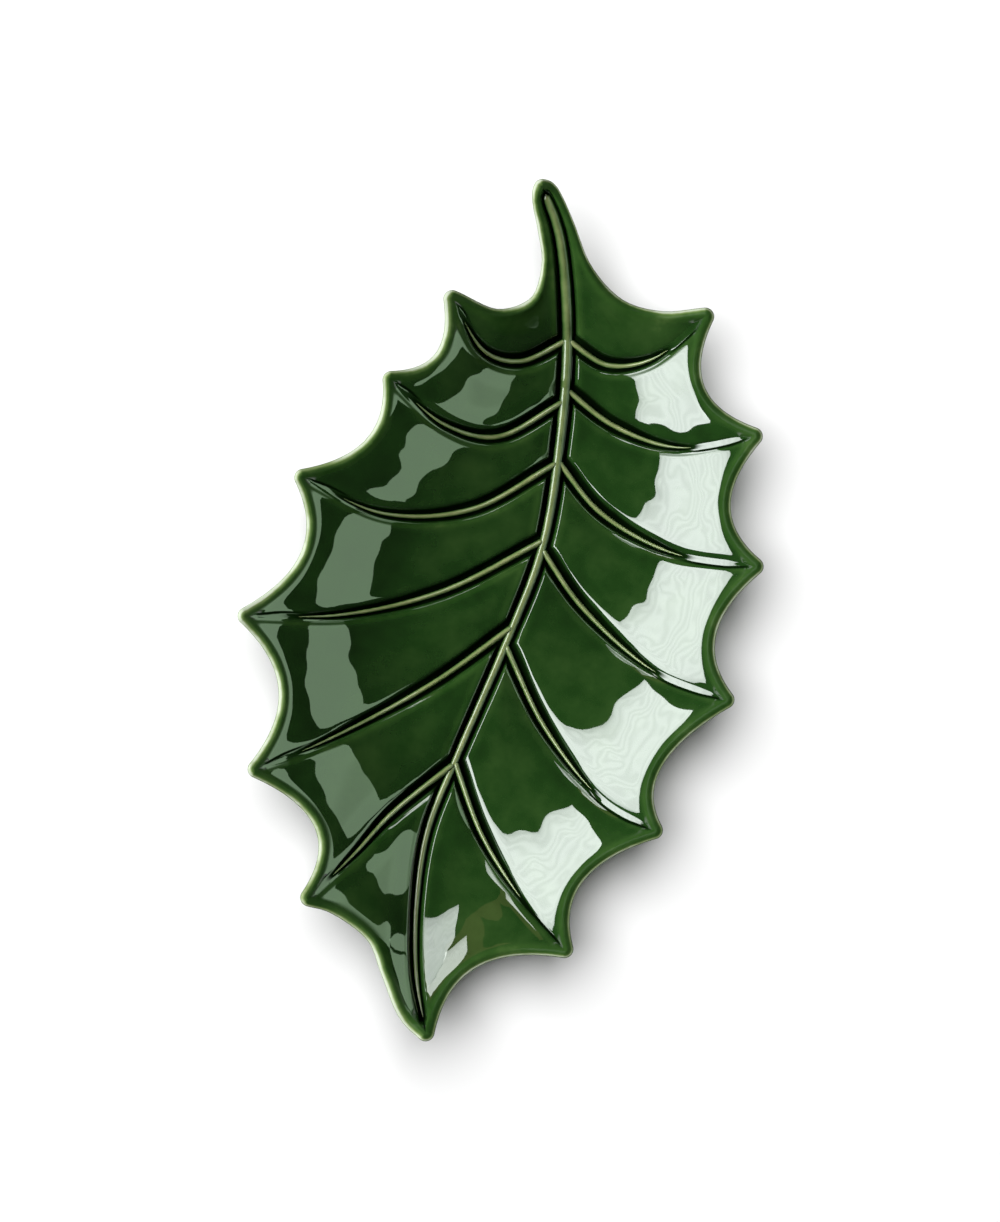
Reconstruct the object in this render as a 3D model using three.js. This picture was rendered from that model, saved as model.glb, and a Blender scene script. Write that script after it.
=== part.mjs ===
// Leaf platter in glazed earthenware: a shallow dish in the outline of a spiny leaf. A midrib and its side
// veins are round ribs that lie in channels pressed into the dish, and an oval foot ring carries it.
// Millimetres, +Z up. The origin is under the middle of the outline, at the level that the foot stands on,
// and +Y runs along the leaf from its tip to its stalk.
import * as THREE from "three";
import { mergeVertices } from "three/addons/utils/BufferGeometryUtils.js";

// Leaf in plan: its length between the ends of the midrib's line, and its width between the corners of the
// wall inside its outermost spines
const LEAF_LENGTH = 333;
const LEAF_WIDTH = 194.2;

// Dish: its wall, the clear height under it, and the bowl that rises from the floor to the spines
const WALL = 6;
const FOOT_CLEARANCE = 4.5;
const BOWL_RISE = 26;
const BOWL_REACH = 80;
const BOWL_CURVE = 2.2;
const BOWL_END_BLEND = 5;

// Lip: how far the rounded edge stands out from the line where the wall ends
const LIP = 3.6;

// Channels: depth under a rib and at a spine, flat floor beyond the rib, width of the rounded shoulder, and
// the width beside the rim where all relief runs out
const CHANNEL_DEPTH = 2.1;
const CREASE_DEPTH = 1.2;
const CHANNEL_MARGIN = 1.1;
const CHANNEL_SHOULDER = 2.4;
const RIM_MARGIN = 0.8;

// Each lobe swells between its channels
const SWELL = 1.2;
const SWELL_SPREAD = 10;

// Ribs: half width and height at the thick and the thin end, and the share of its line that a vein covers
const VEIN_HALF_WIDTH = 1.35;
const VEIN_END_HALF_WIDTH = 0.5;
const VEIN_HEIGHT = 2;
const VEIN_END_HEIGHT = 0.8;
const VEIN_RUN = 0.8;
const MIDRIB_HALF_WIDTH = 2.75;
const MIDRIB_END_HALF_WIDTH = 0.8;
const MIDRIB_HEIGHT = 2.5;
const MIDRIB_END_HEIGHT = 1.2;
const MIDRIB_RUN = 0.96;
const MIDRIB_TAPER = 30;

// Gaps: from a vein's root to the midrib, from the midrib to the stalk's rim, and under each seated piece
const ROOT_GAP = 0.8;
const STALK_GAP = 1.5;
const SEAT_GAP = 0.3;

// Foot ring: an oval, measured over its outside where it stands
const FOOT_LENGTH = 176;
const FOOT_WIDTH = 84;
const FOOT_THICKNESS = 5;
const FOOT_SPLAY = 1.2;

// The leaf's drawing, stretched to the length and width above. The midrib runs from the stalk's end to the
// leaf's tip. A stalk edge is the wall's edge from the stalk's end to the first spine of its side. Side veins
// come from the stalk down: where each leaves the midrib (along Y), two points that it passes, the corner of
// the wall inside its spine, and the hollow of the edge below that spine. A hollow's depth is measured from
// corner to corner, and its lean is where the pull lies, from 0 to 1 down the leaf. The last edge on the left
// isn't a plain hollow, so it has points of its own.
const DRAWING = {
  footCentre: [3, 0],
  midrib: [
    [-5.2, 166.4], [1.6, 155], [5.8, 144], [12.7, 110], [15.2, 70], [14, 28],
    [5.9, -8], [-8.6, -60], [-15.9, -90], [-16.2, -119], [-12.4, -146], [-5.8, -166.6],
  ],
  left: {
    stalkEdge: [[-5, 161.2], [-1.2, 150.5], [2, 138], [-1, 122.3], [-15.4, 114.4]],
    veins: [
      { root: 110, by: [[-5, 99], [-19, 100.8]], spine: [-34.3, 118.8], hollow: 10.8, lean: 0.55 },
      { root: 86, by: [[-10, 68.3], [-31, 70.3]], spine: [-53.6, 84.2], hollow: 11.4, lean: 0.42 },
      { root: 61.5, by: [[-16, 38.6], [-50, 32.3]], spine: [-82.6, 41.6], hollow: 13.4, lean: 0.42 },
      { root: 30.5, by: [[-22.7, 5.1], [-60.4, -9.4]], spine: [-97.2, -15], hollow: 13.7, lean: 0.5 },
      { root: -5, by: [[-22, -31.8], [-58, -58]], spine: [-85.2, -73.8], hollow: 15.4, lean: 0.62 },
      {
        root: -62,
        by: [[-31, -85], [-43, -102]],
        spine: [-58, -120.8],
        edge: [[-48.4, -122.4], [-30.6, -132.4], [-22.8, -145.6], [-13.4, -161.2]],
      },
    ],
  },
  right: {
    stalkEdge: [[-0.4, 163], [5.3, 154], [15.4, 137], [30.8, 124.8], [48, 122.1]],
    veins: [
      { root: 110, by: [[30, 102.3], [47, 107]], spine: [64.6, 125.4], hollow: 13.6, lean: 0.5 },
      { root: 91, by: [[35.5, 79], [61, 73.7]], spine: [89.8, 81.6], hollow: 12.4, lean: 0.57 },
      { root: 62.5, by: [[35, 44.3], [65, 32.3]], spine: [97, 31.2], hollow: 12.2, lean: 0.6 },
      { root: 27, by: [[32.3, 6.8], [64, -14.8]], spine: [92.8, -22], hollow: 12.4, lean: 0.72 },
      { root: -12.5, by: [[25, -43.2], [51, -68]], spine: [72, -76.4], hollow: 13.2, lean: 0.64 },
      { root: -61, by: [[6, -88.6], [26, -112.3]], spine: [43.6, -127.2], hollow: 14.4, lean: 0.58 },
    ],
  },
};

// Facets: lines of the mesh beside each channel and the rim, and the number of steps elsewhere
const CHANNEL_LINES = [2, 4.2];
const RIM_LINE = 5;
const COLUMN_LENGTH = 11;
const ROW_LENGTH = 10;
const LIP_STEPS = 4;
const FAN_ANGLE = Math.PI / 7;
const CURVE_STEPS = 12;
const RIB_FACETS = 6;
const VEIN_STATIONS = 10;
const MIDRIB_STATIONS = 44;
const FOOT_STATIONS = 44;

const CLAY = new THREE.MeshStandardMaterial({ color: 0xd8c7a8, roughness: 0.85, metalness: 0 });
const LEAF_GLAZE = new THREE.MeshStandardMaterial({ color: 0x214d1a, roughness: 0.12, metalness: 0 });
const RIB_GLAZE = new THREE.MeshStandardMaterial({ color: 0x8a9f63, roughness: 0.15, metalness: 0 });

const { lerp, smoothstep, clamp } = THREE.MathUtils;
const lift = (p, z) => new THREE.Vector3(p.x, p.y, z);
const step = (p, direction, distance) => p.clone().addScaledVector(direction, distance);

// A line in plan, read by the share of its length
class PlanLine {
  constructor(points) {
    this.points = points;
    this.lengths = [0];
    for (let i = 1; i < points.length; i++) {
      this.lengths.push(this.lengths[i - 1] + points[i].distanceTo(points[i - 1]));
    }
    this.length = this.lengths.at(-1);
  }

  // A smooth line through points chosen by hand
  static through(points) {
    const curve = new THREE.CatmullRomCurve3(points.map((p) => lift(p, 0)));
    const samples = curve.getPoints(CURVE_STEPS * (points.length - 1));
    return new PlanLine(samples.map((p) => new THREE.Vector2(p.x, p.y)));
  }

  at(share) {
    const target = clamp(share, 0, 1) * this.length;
    let i = 1;
    while (i < this.lengths.length - 1 && this.lengths[i] < target) i++;
    const along = (target - this.lengths[i - 1]) / (this.lengths[i] - this.lengths[i - 1]);
    return this.points[i - 1].clone().lerp(this.points[i], along);
  }

  // Unit vector along the line
  direction(share) {
    const reach = 1.5 / this.length;
    return this.at(share + reach).sub(this.at(share - reach)).normalize();
  }

  // Unit vector to the left of someone who walks the line
  leftward(share) {
    const along = this.direction(share);
    return new THREE.Vector2(-along.y, along.x);
  }

  nearest(point) {
    let best = { distance: Infinity, share: 0 };
    for (let i = 1; i < this.points.length; i++) {
      const from = this.points[i - 1];
      const span = this.points[i].clone().sub(from);
      const along = clamp(point.clone().sub(from).dot(span) / span.lengthSq(), 0, 1);
      const distance = point.distanceTo(step(from, span, along));
      if (distance < best.distance) {
        best = { distance, share: lerp(this.lengths[i - 1], this.lengths[i], along) / this.length };
      }
    }
    return best;
  }

  // The share where a test of the line's points first holds
  firstShare(test) {
    let [low, high] = [0, 1];
    for (let i = 0; i < 40; i++) {
      const middle = (low + high) / 2;
      if (test(this.at(middle))) high = middle;
      else low = middle;
    }
    return high;
  }
}

// From the drawing to the leaf's own length and width
const drawn = (point) => new THREE.Vector2(...point);
const spines = [...DRAWING.left.veins, ...DRAWING.right.veins].map(({ spine }) => spine);
const extent = new THREE.Box2().setFromPoints([...DRAWING.midrib, ...spines].map(drawn));
const stretch = new THREE.Vector2(LEAF_WIDTH, LEAF_LENGTH).divide(extent.getSize(new THREE.Vector2()));
const vec = (point) => drawn(point).multiply(stretch);

// Lines of the leaf, walked from the stalk to the tip
const midrib = PlanLine.through(DRAWING.midrib.map(vec));
const stalkEnd = midrib.at(0);
const leafTip = midrib.at(1);

// Half widths of the ribs and of their channels' floors: the midrib runs out at both ends and fits in the stalk
const endTaper = (share) => clamp((midrib.length * Math.min(share, 1 - share)) / MIDRIB_TAPER, 0, 1);
const stalkRoom = (share) => Math.max(0, toRim(midrib.at(share)) - STALK_GAP);
const midribSpread = (share) => endTaper(share) * lerp(MIDRIB_HALF_WIDTH, MIDRIB_END_HALF_WIDTH, share);
const midribWidth = (share) => Math.min(midribSpread(share), stalkRoom(share));
const midribFloor = (share) => midribWidth(share) + endTaper(share) * CHANNEL_MARGIN;
const veinWidth = (share) => lerp(VEIN_HALF_WIDTH, VEIN_END_HALF_WIDTH, share);
const veinFloor = (share) => lerp(VEIN_HALF_WIDTH + CHANNEL_MARGIN, VEIN_END_HALF_WIDTH, share);

function makeVein({ root, by, spine }) {
  const leaves = midrib.at(midrib.firstShare((p) => p.y < root * stretch.y));
  return PlanLine.through([leaves, ...by.map(vec), vec(spine)]);
}

// The edge of the wall between two spines: a hollow curve
function makeHollow(from, to, { hollow, lean, edge }, outward) {
  if (edge) return PlanLine.through([from, ...edge.map(vec), to]);
  const chord = to.clone().sub(from);
  const across = new THREE.Vector2(-chord.y, chord.x).normalize().multiplyScalar(outward);
  const pull = step(step(from, chord, lean), across, -2 * hollow * stretch.x);
  return new PlanLine(new THREE.QuadraticBezierCurve(from, pull, to).getPoints(2 * CURVE_STEPS));
}

// A side's outward direction is the left of its lines on the right of the leaf, and the right on its left
const sides = [
  { name: "left", outward: -1, drawing: DRAWING.left },
  { name: "right", outward: 1, drawing: DRAWING.right },
];
for (const side of sides) {
  const { veins: rows, stalkEdge } = side.drawing;
  side.veins = rows.map(makeVein);
  side.corners = [stalkEnd, ...rows.map(({ spine }) => vec(spine)), leafTip];
  side.envelope = PlanLine.through(side.corners);
  side.rims = rows.map((row, k) => makeHollow(side.corners[k + 1], side.corners[k + 2], row, side.outward));
  side.rims.unshift(PlanLine.through([stalkEnd, ...stalkEdge.map(vec), side.corners[1]]));
}
const veins = sides.flatMap((side) => side.veins);
const rims = sides.flatMap((side) => side.rims);
const columnSteps = Math.ceil(Math.max(...veins.map((vein) => vein.length)) / COLUMN_LENGTH);
const toRim = (p) => Math.min(...rims.map((line) => line.nearest(p).distance));

// Bowl: the height of the dish's smooth inner surface, before the relief is pressed into it
function bowl(p) {
  const rises = sides.map((side) => {
    const inward = side.envelope.nearest(p).distance / BOWL_REACH;
    return (BOWL_RISE * Math.max(0, 1 - inward) ** BOWL_CURVE) ** BOWL_END_BLEND;
  });
  return FOOT_CLEARANCE + WALL + (rises[0] + rises[1]) ** (1 / BOWL_END_BLEND);
}

// Relief: how deep the channels and the low ground between the lobes lie under the bowl
function relief(p) {
  const near = midrib.nearest(p);
  let channel = CHANNEL_DEPTH * shoulder(near.distance, midribFloor(near.share));
  let closest = near.distance;
  for (const vein of veins) {
    const { distance, share } = vein.nearest(p);
    const depth = lerp(CHANNEL_DEPTH, CREASE_DEPTH, share);
    channel = Math.max(channel, depth * shoulder(distance, veinFloor(share)));
    closest = Math.min(closest, distance);
  }
  const low = SWELL * Math.exp(-((closest / SWELL_SPREAD) ** 2));
  return (channel + low) * smoothstep(toRim(p), 0, RIM_MARGIN);
}

// A channel's section: 1 on its floor, 0 past its shoulder
function shoulder(distance, floor) {
  return 1 - smoothstep(distance, floor, floor + CHANNEL_SHOULDER);
}

const topHeight = (p) => bowl(p) - relief(p);
const underHeight = (p) => bowl(p) - WALL;
const slope = (p, direction) => bowl(p) - bowl(step(p, direction, -1));

// Triangles of one closed surface
class Skin {
  corners = [];

  triangle(a, b, c) {
    if (a.distanceTo(b) < 1e-3 || b.distanceTo(c) < 1e-3 || c.distanceTo(a) < 1e-3) return;
    this.corners.push(a, b, c);
  }

  // Rows of points: unturned, each row has the outside above it and its next row on the right hand
  rows(rows, turned) {
    for (let i = 1; i < rows.length; i++) {
      for (let j = 1; j < rows[i].length; j++) {
        const [a, b, c, d] = [rows[i - 1][j - 1], rows[i][j - 1], rows[i][j], rows[i - 1][j]];
        this.triangle(a, ...(turned ? [c, b] : [b, c]));
        this.triangle(a, ...(turned ? [d, c] : [c, d]));
      }
    }
  }

  // A band between two lines that run down the leaf, each with its own spacing
  band(left, right, turned) {
    let [i, j] = [0, 0];
    while (i < left.length - 1 || j < right.length - 1) {
      const onLeft = j === right.length - 1 || (i < left.length - 1 && left[i + 1].y > right[j + 1].y);
      const next = onLeft ? left[i + 1] : right[j + 1];
      this.triangle(left[i], ...(turned ? [right[j], next] : [next, right[j]]));
      if (onLeft) i++;
      else j++;
    }
  }

  // A flat or nearly flat end on a ring of points
  cap(ring, turned) {
    for (let i = 2; i < ring.length; i++) {
      this.triangle(ring[0], ...(turned ? [ring[i], ring[i - 1]] : [ring[i - 1], ring[i]]));
    }
  }

  mesh(name, material) {
    const geometry = mergeVertices(new THREE.BufferGeometry().setFromPoints(this.corners), 1e-3);
    geometry.computeVertexNormals();
    const mesh = new THREE.Mesh(geometry, material);
    mesh.name = name;
    return mesh;
  }
}

// Shares of a line with set lines near its ends and even steps between them
function spread(length, startLines, endLines, steps) {
  const safe = Math.max(length, 2 * (startLines.at(-1) + endLines.at(-1)));
  const starts = startLines.map((d) => d / safe);
  const ends = endLines.map((d) => 1 - d / safe);
  const middle = [];
  for (let k = 1; k < steps; k++) middle.push(lerp(starts.at(-1), ends.at(-1), k / steps));
  return [0, ...starts, ...middle, ...ends.toReversed(), 1];
}

// A side's lobes in plan: rows of points from the midrib's channel to the rim, from the stalk to the tip
function makeLobes(side) {
  const edge = (share) => step(midrib.at(share), midrib.leftward(share), side.outward * midribFloor(share));
  const branches = side.veins.map((vein) => {
    const start = vein.firstShare((p) => midrib.nearest(p).distance > midribFloor(midrib.nearest(p).share));
    const station = midrib.nearest(vein.at(start)).share;
    const points = [edge(station)];
    for (let k = 1; k <= 3 * CURVE_STEPS; k++) points.push(vein.at(lerp(start, 1, k / (3 * CURVE_STEPS))));
    return { station, line: new PlanLine(points) };
  });
  return side.rims.map((rim, k) => {
    const [upper, lower] = [branches[k - 1], branches[k]];
    const [from, to] = [upper?.station ?? 0, lower?.station ?? 1];
    const inner = (t) => edge(lerp(from, to, t));
    const innerLength = (to - from) * midrib.length;
    const fade = upper && lower ? 1 : 3;
    const bend = (branch, s, t) =>
      branch ? branch.line.at(s).sub(inner(t).lerp(rim.at(t), s)) : new THREE.Vector2();
    const point = (s, t) =>
      inner(t)
        .lerp(rim.at(t), s)
        .addScaledVector(bend(upper, s, 0), (1 - t) ** fade)
        .addScaledVector(bend(lower, s, 1), t ** fade);
    const columnLength = (t) => lerp(upper?.line.length ?? 0, lower?.line.length ?? 0, t);
    const columns = (t) => spread(columnLength(t), CHANNEL_LINES, [RIM_LINE], columnSteps);
    const rowSteps = Math.ceil(Math.max(innerLength, rim.length) / ROW_LENGTH);
    const lines = (s) => spread(lerp(innerLength, rim.length, s), CHANNEL_LINES, CHANNEL_LINES, rowSteps);
    return lines(0).map((_, j) =>
      columns(0).map((_, i) => {
        const t = lines(columns(0.5)[i])[j];
        const s = columns(t)[i];
        return point(s, lines(s)[j]);
      }),
    );
  });
}

// Where the lip's rows stand on the rim and which way each one faces; at a corner they fan round
function lipStands(side, lobes) {
  const facing = (rim, share) => rim.leftward(share).multiplyScalar(side.outward);
  const other = sides.find((entry) => entry !== side);
  const across = (k, share) => other.rims[k].leftward(share).multiplyScalar(other.outward);
  return side.rims.map((rim, k) => {
    const [first, last] = [facing(rim, 0), facing(rim, 1)];
    const before = k > 0 ? facing(side.rims[k - 1], 1) : across(0, 0);
    const after = k < side.rims.length - 1 ? facing(side.rims[k + 1], 0) : across(k, 1);
    const points = lobes[k].map((row) => row.at(-1));
    const middle = points.map((p) => ({ p, out: facing(rim, rim.nearest(p).share) }));
    const start = fan(before.add(first).normalize(), first).map((out) => ({ p: points[0], out }));
    const end = fan(last, after.add(last).normalize()).map((out) => ({ p: points.at(-1), out }));
    return [...start, ...middle.slice(1, -1), ...end];
  });
}

// Directions that turn from one to another in even steps
function fan(from, to) {
  const turn = Math.atan2(from.cross(to), from.dot(to));
  const steps = Math.max(1, Math.ceil(Math.abs(turn) / FAN_ANGLE));
  const directions = [];
  for (let k = 0; k <= steps; k++) {
    directions.push(from.clone().rotateAround(new THREE.Vector2(), (turn * k) / steps));
  }
  return directions;
}

// Dish: top, underside and lip as one skin
function makeDish() {
  const skin = new Skin();
  const edges = { top: [], under: [] };
  for (const side of sides) {
    const turned = side.outward < 0;
    const lobes = makeLobes(side);
    const top = lobes.map((rows) => rows.map((row) => row.map((p) => lift(p, topHeight(p)))));
    const sparse = (row) => row.filter((_, i) => i % 2 === 0 || i === row.length - 1);
    const under = lobes.map((rows) => rows.map((row) => sparse(row).map((p) => lift(p, underHeight(p)))));
    top.forEach((rows) => skin.rows(rows, turned));
    under.forEach((rows) => skin.rows(rows, !turned));
    lipStands(side, lobes).forEach((stands) => skin.rows(stands.map(lipSection), turned));
    edges.top.push(top.flatMap((rows) => rows.map((row) => row[0])));
    edges.under.push(under.flatMap((rows) => rows.map((row) => row[0])));
  }
  const stations = spread(midrib.length, CHANNEL_LINES, CHANNEL_LINES, MIDRIB_STATIONS);
  const floor = stations.map((share) => midrib.at(share)).map((p) => lift(p, topHeight(p)));
  skin.band(edges.top[0], floor, false);
  skin.band(floor, edges.top[1], false);
  skin.band(...edges.under, true);
  return skin.mesh("leaf_dish", LEAF_GLAZE);
}

// Section of the lip: a half ellipse from the top of the wall to its underside, leaning with the wall
function lipSection({ p, out }) {
  const [top, under] = [topHeight(p), underHeight(p)];
  const lean = slope(p, out) * LIP;
  const points = [];
  for (let k = 0; k <= LIP_STEPS; k++) {
    const angle = (Math.PI * k) / LIP_STEPS;
    const height = lerp(top, under, (1 - Math.cos(angle)) / 2) + lean * Math.sin(angle);
    points.push(lift(step(p, out, LIP * Math.sin(angle)), height));
  }
  return points;
}

// Rib: an arched section swept along its channel, its two edges just clear of the channel's floor
function makeRib(name, line, from, to, stations, widthAt, heightAt) {
  const skin = new Skin();
  const rings = [];
  for (let k = 0; k <= stations; k++) {
    const share = lerp(from, to, k / stations);
    const blunt = k === 0 || k === stations ? 0.5 : 1;
    const across = line.leftward(share);
    const middle = line.at(share);
    const seat = (offset) => topHeight(step(middle, across, offset)) + SEAT_GAP;
    const half = blunt * widthAt(share);
    const [low, high] = [seat(-half), seat(half)];
    const ring = [];
    for (let j = 0; j <= RIB_FACETS; j++) {
      const angle = (Math.PI * j) / RIB_FACETS;
      const side = Math.cos(angle);
      const rise = blunt * heightAt(share) * Math.sin(angle);
      ring.push(lift(step(middle, across, half * side), lerp(low, high, (side + 1) / 2) + rise));
    }
    rings.push([...ring, ring[0]]);
  }
  skin.rows(rings, true);
  skin.cap(rings[0].slice(0, -1), true);
  skin.cap(rings.at(-1).slice(0, -1), false);
  return skin.mesh(name, RIB_GLAZE);
}

function makeMidrib() {
  const heightAt = (share) => lerp(MIDRIB_HEIGHT, MIDRIB_END_HEIGHT, share);
  const start = (1 - MIDRIB_RUN) / 2;
  return makeRib("midrib", midrib, start, 1 - start, MIDRIB_STATIONS, midribWidth, heightAt);
}

function makeSideVein(side, vein, k) {
  const heightAt = (share) => lerp(VEIN_HEIGHT, VEIN_END_HEIGHT, share);
  const clear = (p) => {
    const { distance, share } = midrib.nearest(p);
    return distance > midribWidth(share) + ROOT_GAP + VEIN_HALF_WIDTH / 2;
  };
  const start = vein.firstShare(clear);
  return makeRib(`${side.name}_vein_${k + 1}`, vein, start, VEIN_RUN, VEIN_STATIONS, veinWidth, heightAt);
}

// Foot ring: it stands on z = 0 and reaches up to the underside
function makeFoot() {
  const skin = new Skin();
  const rings = [];
  for (let k = 0; k <= FOOT_STATIONS; k++) {
    const angle = (2 * Math.PI * k) / FOOT_STATIONS;
    const oval = (inset) => {
      const [a, b] = [FOOT_WIDTH / 2 - inset, FOOT_LENGTH / 2 - inset];
      return new THREE.Vector2(a * Math.cos(angle), b * Math.sin(angle)).add(vec(DRAWING.footCentre));
    };
    const seat = (p) => lift(p, underHeight(p) - SEAT_GAP);
    const ring = [
      lift(oval(0), 0),
      seat(oval(-FOOT_SPLAY)),
      seat(oval(FOOT_THICKNESS / 2)),
      seat(oval(FOOT_THICKNESS + FOOT_SPLAY)),
      lift(oval(FOOT_THICKNESS), 0),
    ];
    rings.push([...ring, ring[0]]);
  }
  skin.rows(rings, false);
  return skin.mesh("foot_ring", CLAY);
}

// The platter, moved so that the middle of its outline is over the origin
const platter = new THREE.Group();
platter.add(makeDish(), makeMidrib(), makeFoot());
for (const side of sides) {
  side.veins.forEach((vein, k) => platter.add(makeSideVein(side, vein, k)));
}
const middle = new THREE.Box3().setFromObject(platter).getCenter(new THREE.Vector3());
for (const mesh of platter.children) mesh.position.set(-middle.x, -middle.y, 0);

export default platter;
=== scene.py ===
# %% [markdown]
# # A leaf platter in green glaze
# The real thing is one dish of earthenware in the outline of a spiny leaf. A midrib and twelve side veins
# are round ribs that lie in dark channels, the edge is a rounded lip, and an oval foot ring carries the
# dish. The solids of the construction are loaded first and stay where they are. Every mesh below is in
# metres, in the same frame, so nothing has to be fitted afterwards.

# %% Load the solids
import math
from collections import namedtuple

import bpy
import numpy as np
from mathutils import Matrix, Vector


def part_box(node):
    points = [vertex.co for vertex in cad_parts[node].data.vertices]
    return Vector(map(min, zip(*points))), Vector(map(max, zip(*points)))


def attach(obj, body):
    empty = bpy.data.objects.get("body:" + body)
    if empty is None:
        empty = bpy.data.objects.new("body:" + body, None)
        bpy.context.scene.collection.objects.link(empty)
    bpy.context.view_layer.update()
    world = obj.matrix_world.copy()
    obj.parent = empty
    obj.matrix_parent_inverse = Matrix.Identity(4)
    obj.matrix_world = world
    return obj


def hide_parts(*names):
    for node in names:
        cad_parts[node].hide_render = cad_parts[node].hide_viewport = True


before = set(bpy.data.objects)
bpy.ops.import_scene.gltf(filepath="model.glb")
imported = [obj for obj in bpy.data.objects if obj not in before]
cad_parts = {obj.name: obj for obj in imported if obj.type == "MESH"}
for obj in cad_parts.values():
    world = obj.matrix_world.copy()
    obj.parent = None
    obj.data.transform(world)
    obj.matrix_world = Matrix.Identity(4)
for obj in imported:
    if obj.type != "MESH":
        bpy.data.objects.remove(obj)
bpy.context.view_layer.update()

# %% [markdown]
# ## The camera
# The picture looks straight down at the platter, from far away, with the leaf turned a little in the
# frame. A long lens gives the same flat view. The lens follows from the height of the picture at the level
# of the rim, so that a length in the picture stays a length on the leaf.

# %% Place the camera
MM = 0.001
CAMERA_HEIGHT = 2.5
RIM_LEVEL = 36 * MM
PICTURE_HEIGHT = 477.8 * MM
PICTURE_CENTRE = (0.8 * MM, 0.5 * MM)
LEAF_TURN = math.radians(7.8)
SENSOR = 36

camera_data = bpy.data.cameras.new("camera")
camera_data.sensor_fit = "VERTICAL"
camera_data.sensor_height = SENSOR
camera_data.lens = SENSOR * (CAMERA_HEIGHT - RIM_LEVEL) / PICTURE_HEIGHT
camera = bpy.data.objects.new("camera", camera_data)
camera.location = (*PICTURE_CENTRE, CAMERA_HEIGHT)
camera.rotation_euler = (0, 0, LEAF_TURN)
bpy.context.scene.collection.objects.link(camera)
bpy.context.scene.camera = camera
bpy.context.scene.view_settings.view_transform = "Standard"
print("lens", round(camera_data.lens, 1), "mm")

# %% [markdown]
# ## Lines in plan
# A potter would first draw the leaf: its midrib, its veins and its edge. The same drawing, in millimetres,
# drives every mesh here. A smooth line goes through a few points, and it can say where a share of its
# length lies, which way is left of it, and how far any point is from it. Working on whole arrays of points
# at once keeps this quick, because the dish has tens of thousands of them.

# %% Lines that can be measured
SPAN_STEPS = 40
ALONG_STEP = 1.5


def mix(low, high, share):
    return low + (high - low) * share


def smooth(value, low, high):
    share = np.clip((value - low) / (high - low), 0, 1)
    return share * share * (3 - 2 * share)


class Line:
    def __init__(self, points):
        self.points = np.asarray(points, float)
        steps = np.linalg.norm(np.diff(self.points, axis=0), axis=1)
        self.lengths = np.concatenate([[0], np.cumsum(steps)])
        self.length = self.lengths[-1]

    @classmethod
    def through(cls, knots):
        knots = np.asarray(knots, float)
        first, last = 2 * knots[0] - knots[1], 2 * knots[-1] - knots[-2]
        padded = np.vstack([first, knots, last])
        roots = np.sqrt(np.linalg.norm(np.diff(padded, axis=0), axis=1))
        t = np.linspace(0, 1, SPAN_STEPS, endpoint=False)[:, None]
        spans = []
        for k in range(len(knots) - 1):
            before, start, end, after = padded[k : k + 4]
            a, b, c = roots[k : k + 3]
            leave = b * ((start - before) / a - (end - before) / (a + b) + (end - start) / b)
            arrive = b * ((end - start) / b - (after - start) / (b + c) + (after - end) / c)
            square = 3 * (end - start) - 2 * leave - arrive
            cube = leave + arrive - 2 * (end - start)
            spans.append(start + leave * t + square * t**2 + cube * t**3)
        return cls(np.vstack([*spans, knots[-1]]))

    def at(self, share):
        target = np.clip(share, 0, 1) * self.length
        return np.stack([np.interp(target, self.lengths, values) for values in self.points.T], axis=-1)

    def left(self, share):
        reach = ALONG_STEP / self.length
        along = self.at(share + reach) - self.at(share - reach)
        along = along / np.linalg.norm(along, axis=-1, keepdims=True)
        return np.stack([-along[..., 1], along[..., 0]], axis=-1)

    def nearest(self, points):
        flat = points.reshape(-1, 2)
        squares = (self.points**2).sum(axis=1) - 2 * flat @ self.points.T
        index = squares.argmin(axis=1)
        distance, place, turn = np.full(len(flat), np.inf), np.zeros(len(flat)), np.zeros(len(flat))
        for first in (np.maximum(index - 1, 0), np.minimum(index, len(self.points) - 2)):
            start, span = self.points[first], self.points[first + 1] - self.points[first]
            share = np.clip(((flat - start) * span).sum(axis=1) / (span**2).sum(axis=1), 0, 1)
            gap = np.linalg.norm(flat - start - span * share[:, None], axis=1)
            cross = span[:, 0] * (flat - start)[:, 1] - span[:, 1] * (flat - start)[:, 0]
            closer = gap < distance
            distance = np.where(closer, gap, distance)
            place = np.where(closer, mix(self.lengths[first], self.lengths[first + 1], share), place)
            turn = np.where(closer, cross, turn)
        return [found.reshape(points.shape[:-1]) for found in (distance, place / self.length, np.sign(turn))]


# %% [markdown]
# ## The drawing of the leaf
# +Y runs from the leaf's tip to its stalk. Each vein leaves the midrib at a height, passes two points and
# ends at the corner of the wall inside a spine. Below that spine the edge is a hollow curve: its depth is
# measured from spine to spine, and its lean says where the pull lies. The edges beside the stalk and the
# last edge on the left have points of their own, because they are not plain hollows. Some veins have their
# own swells beside them, the side of the stalk first: how deep the lobe hollows there, and how far that
# spreads. Along the stalk the lip is slimmer, and the wall's corner moves out by as much.

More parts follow.
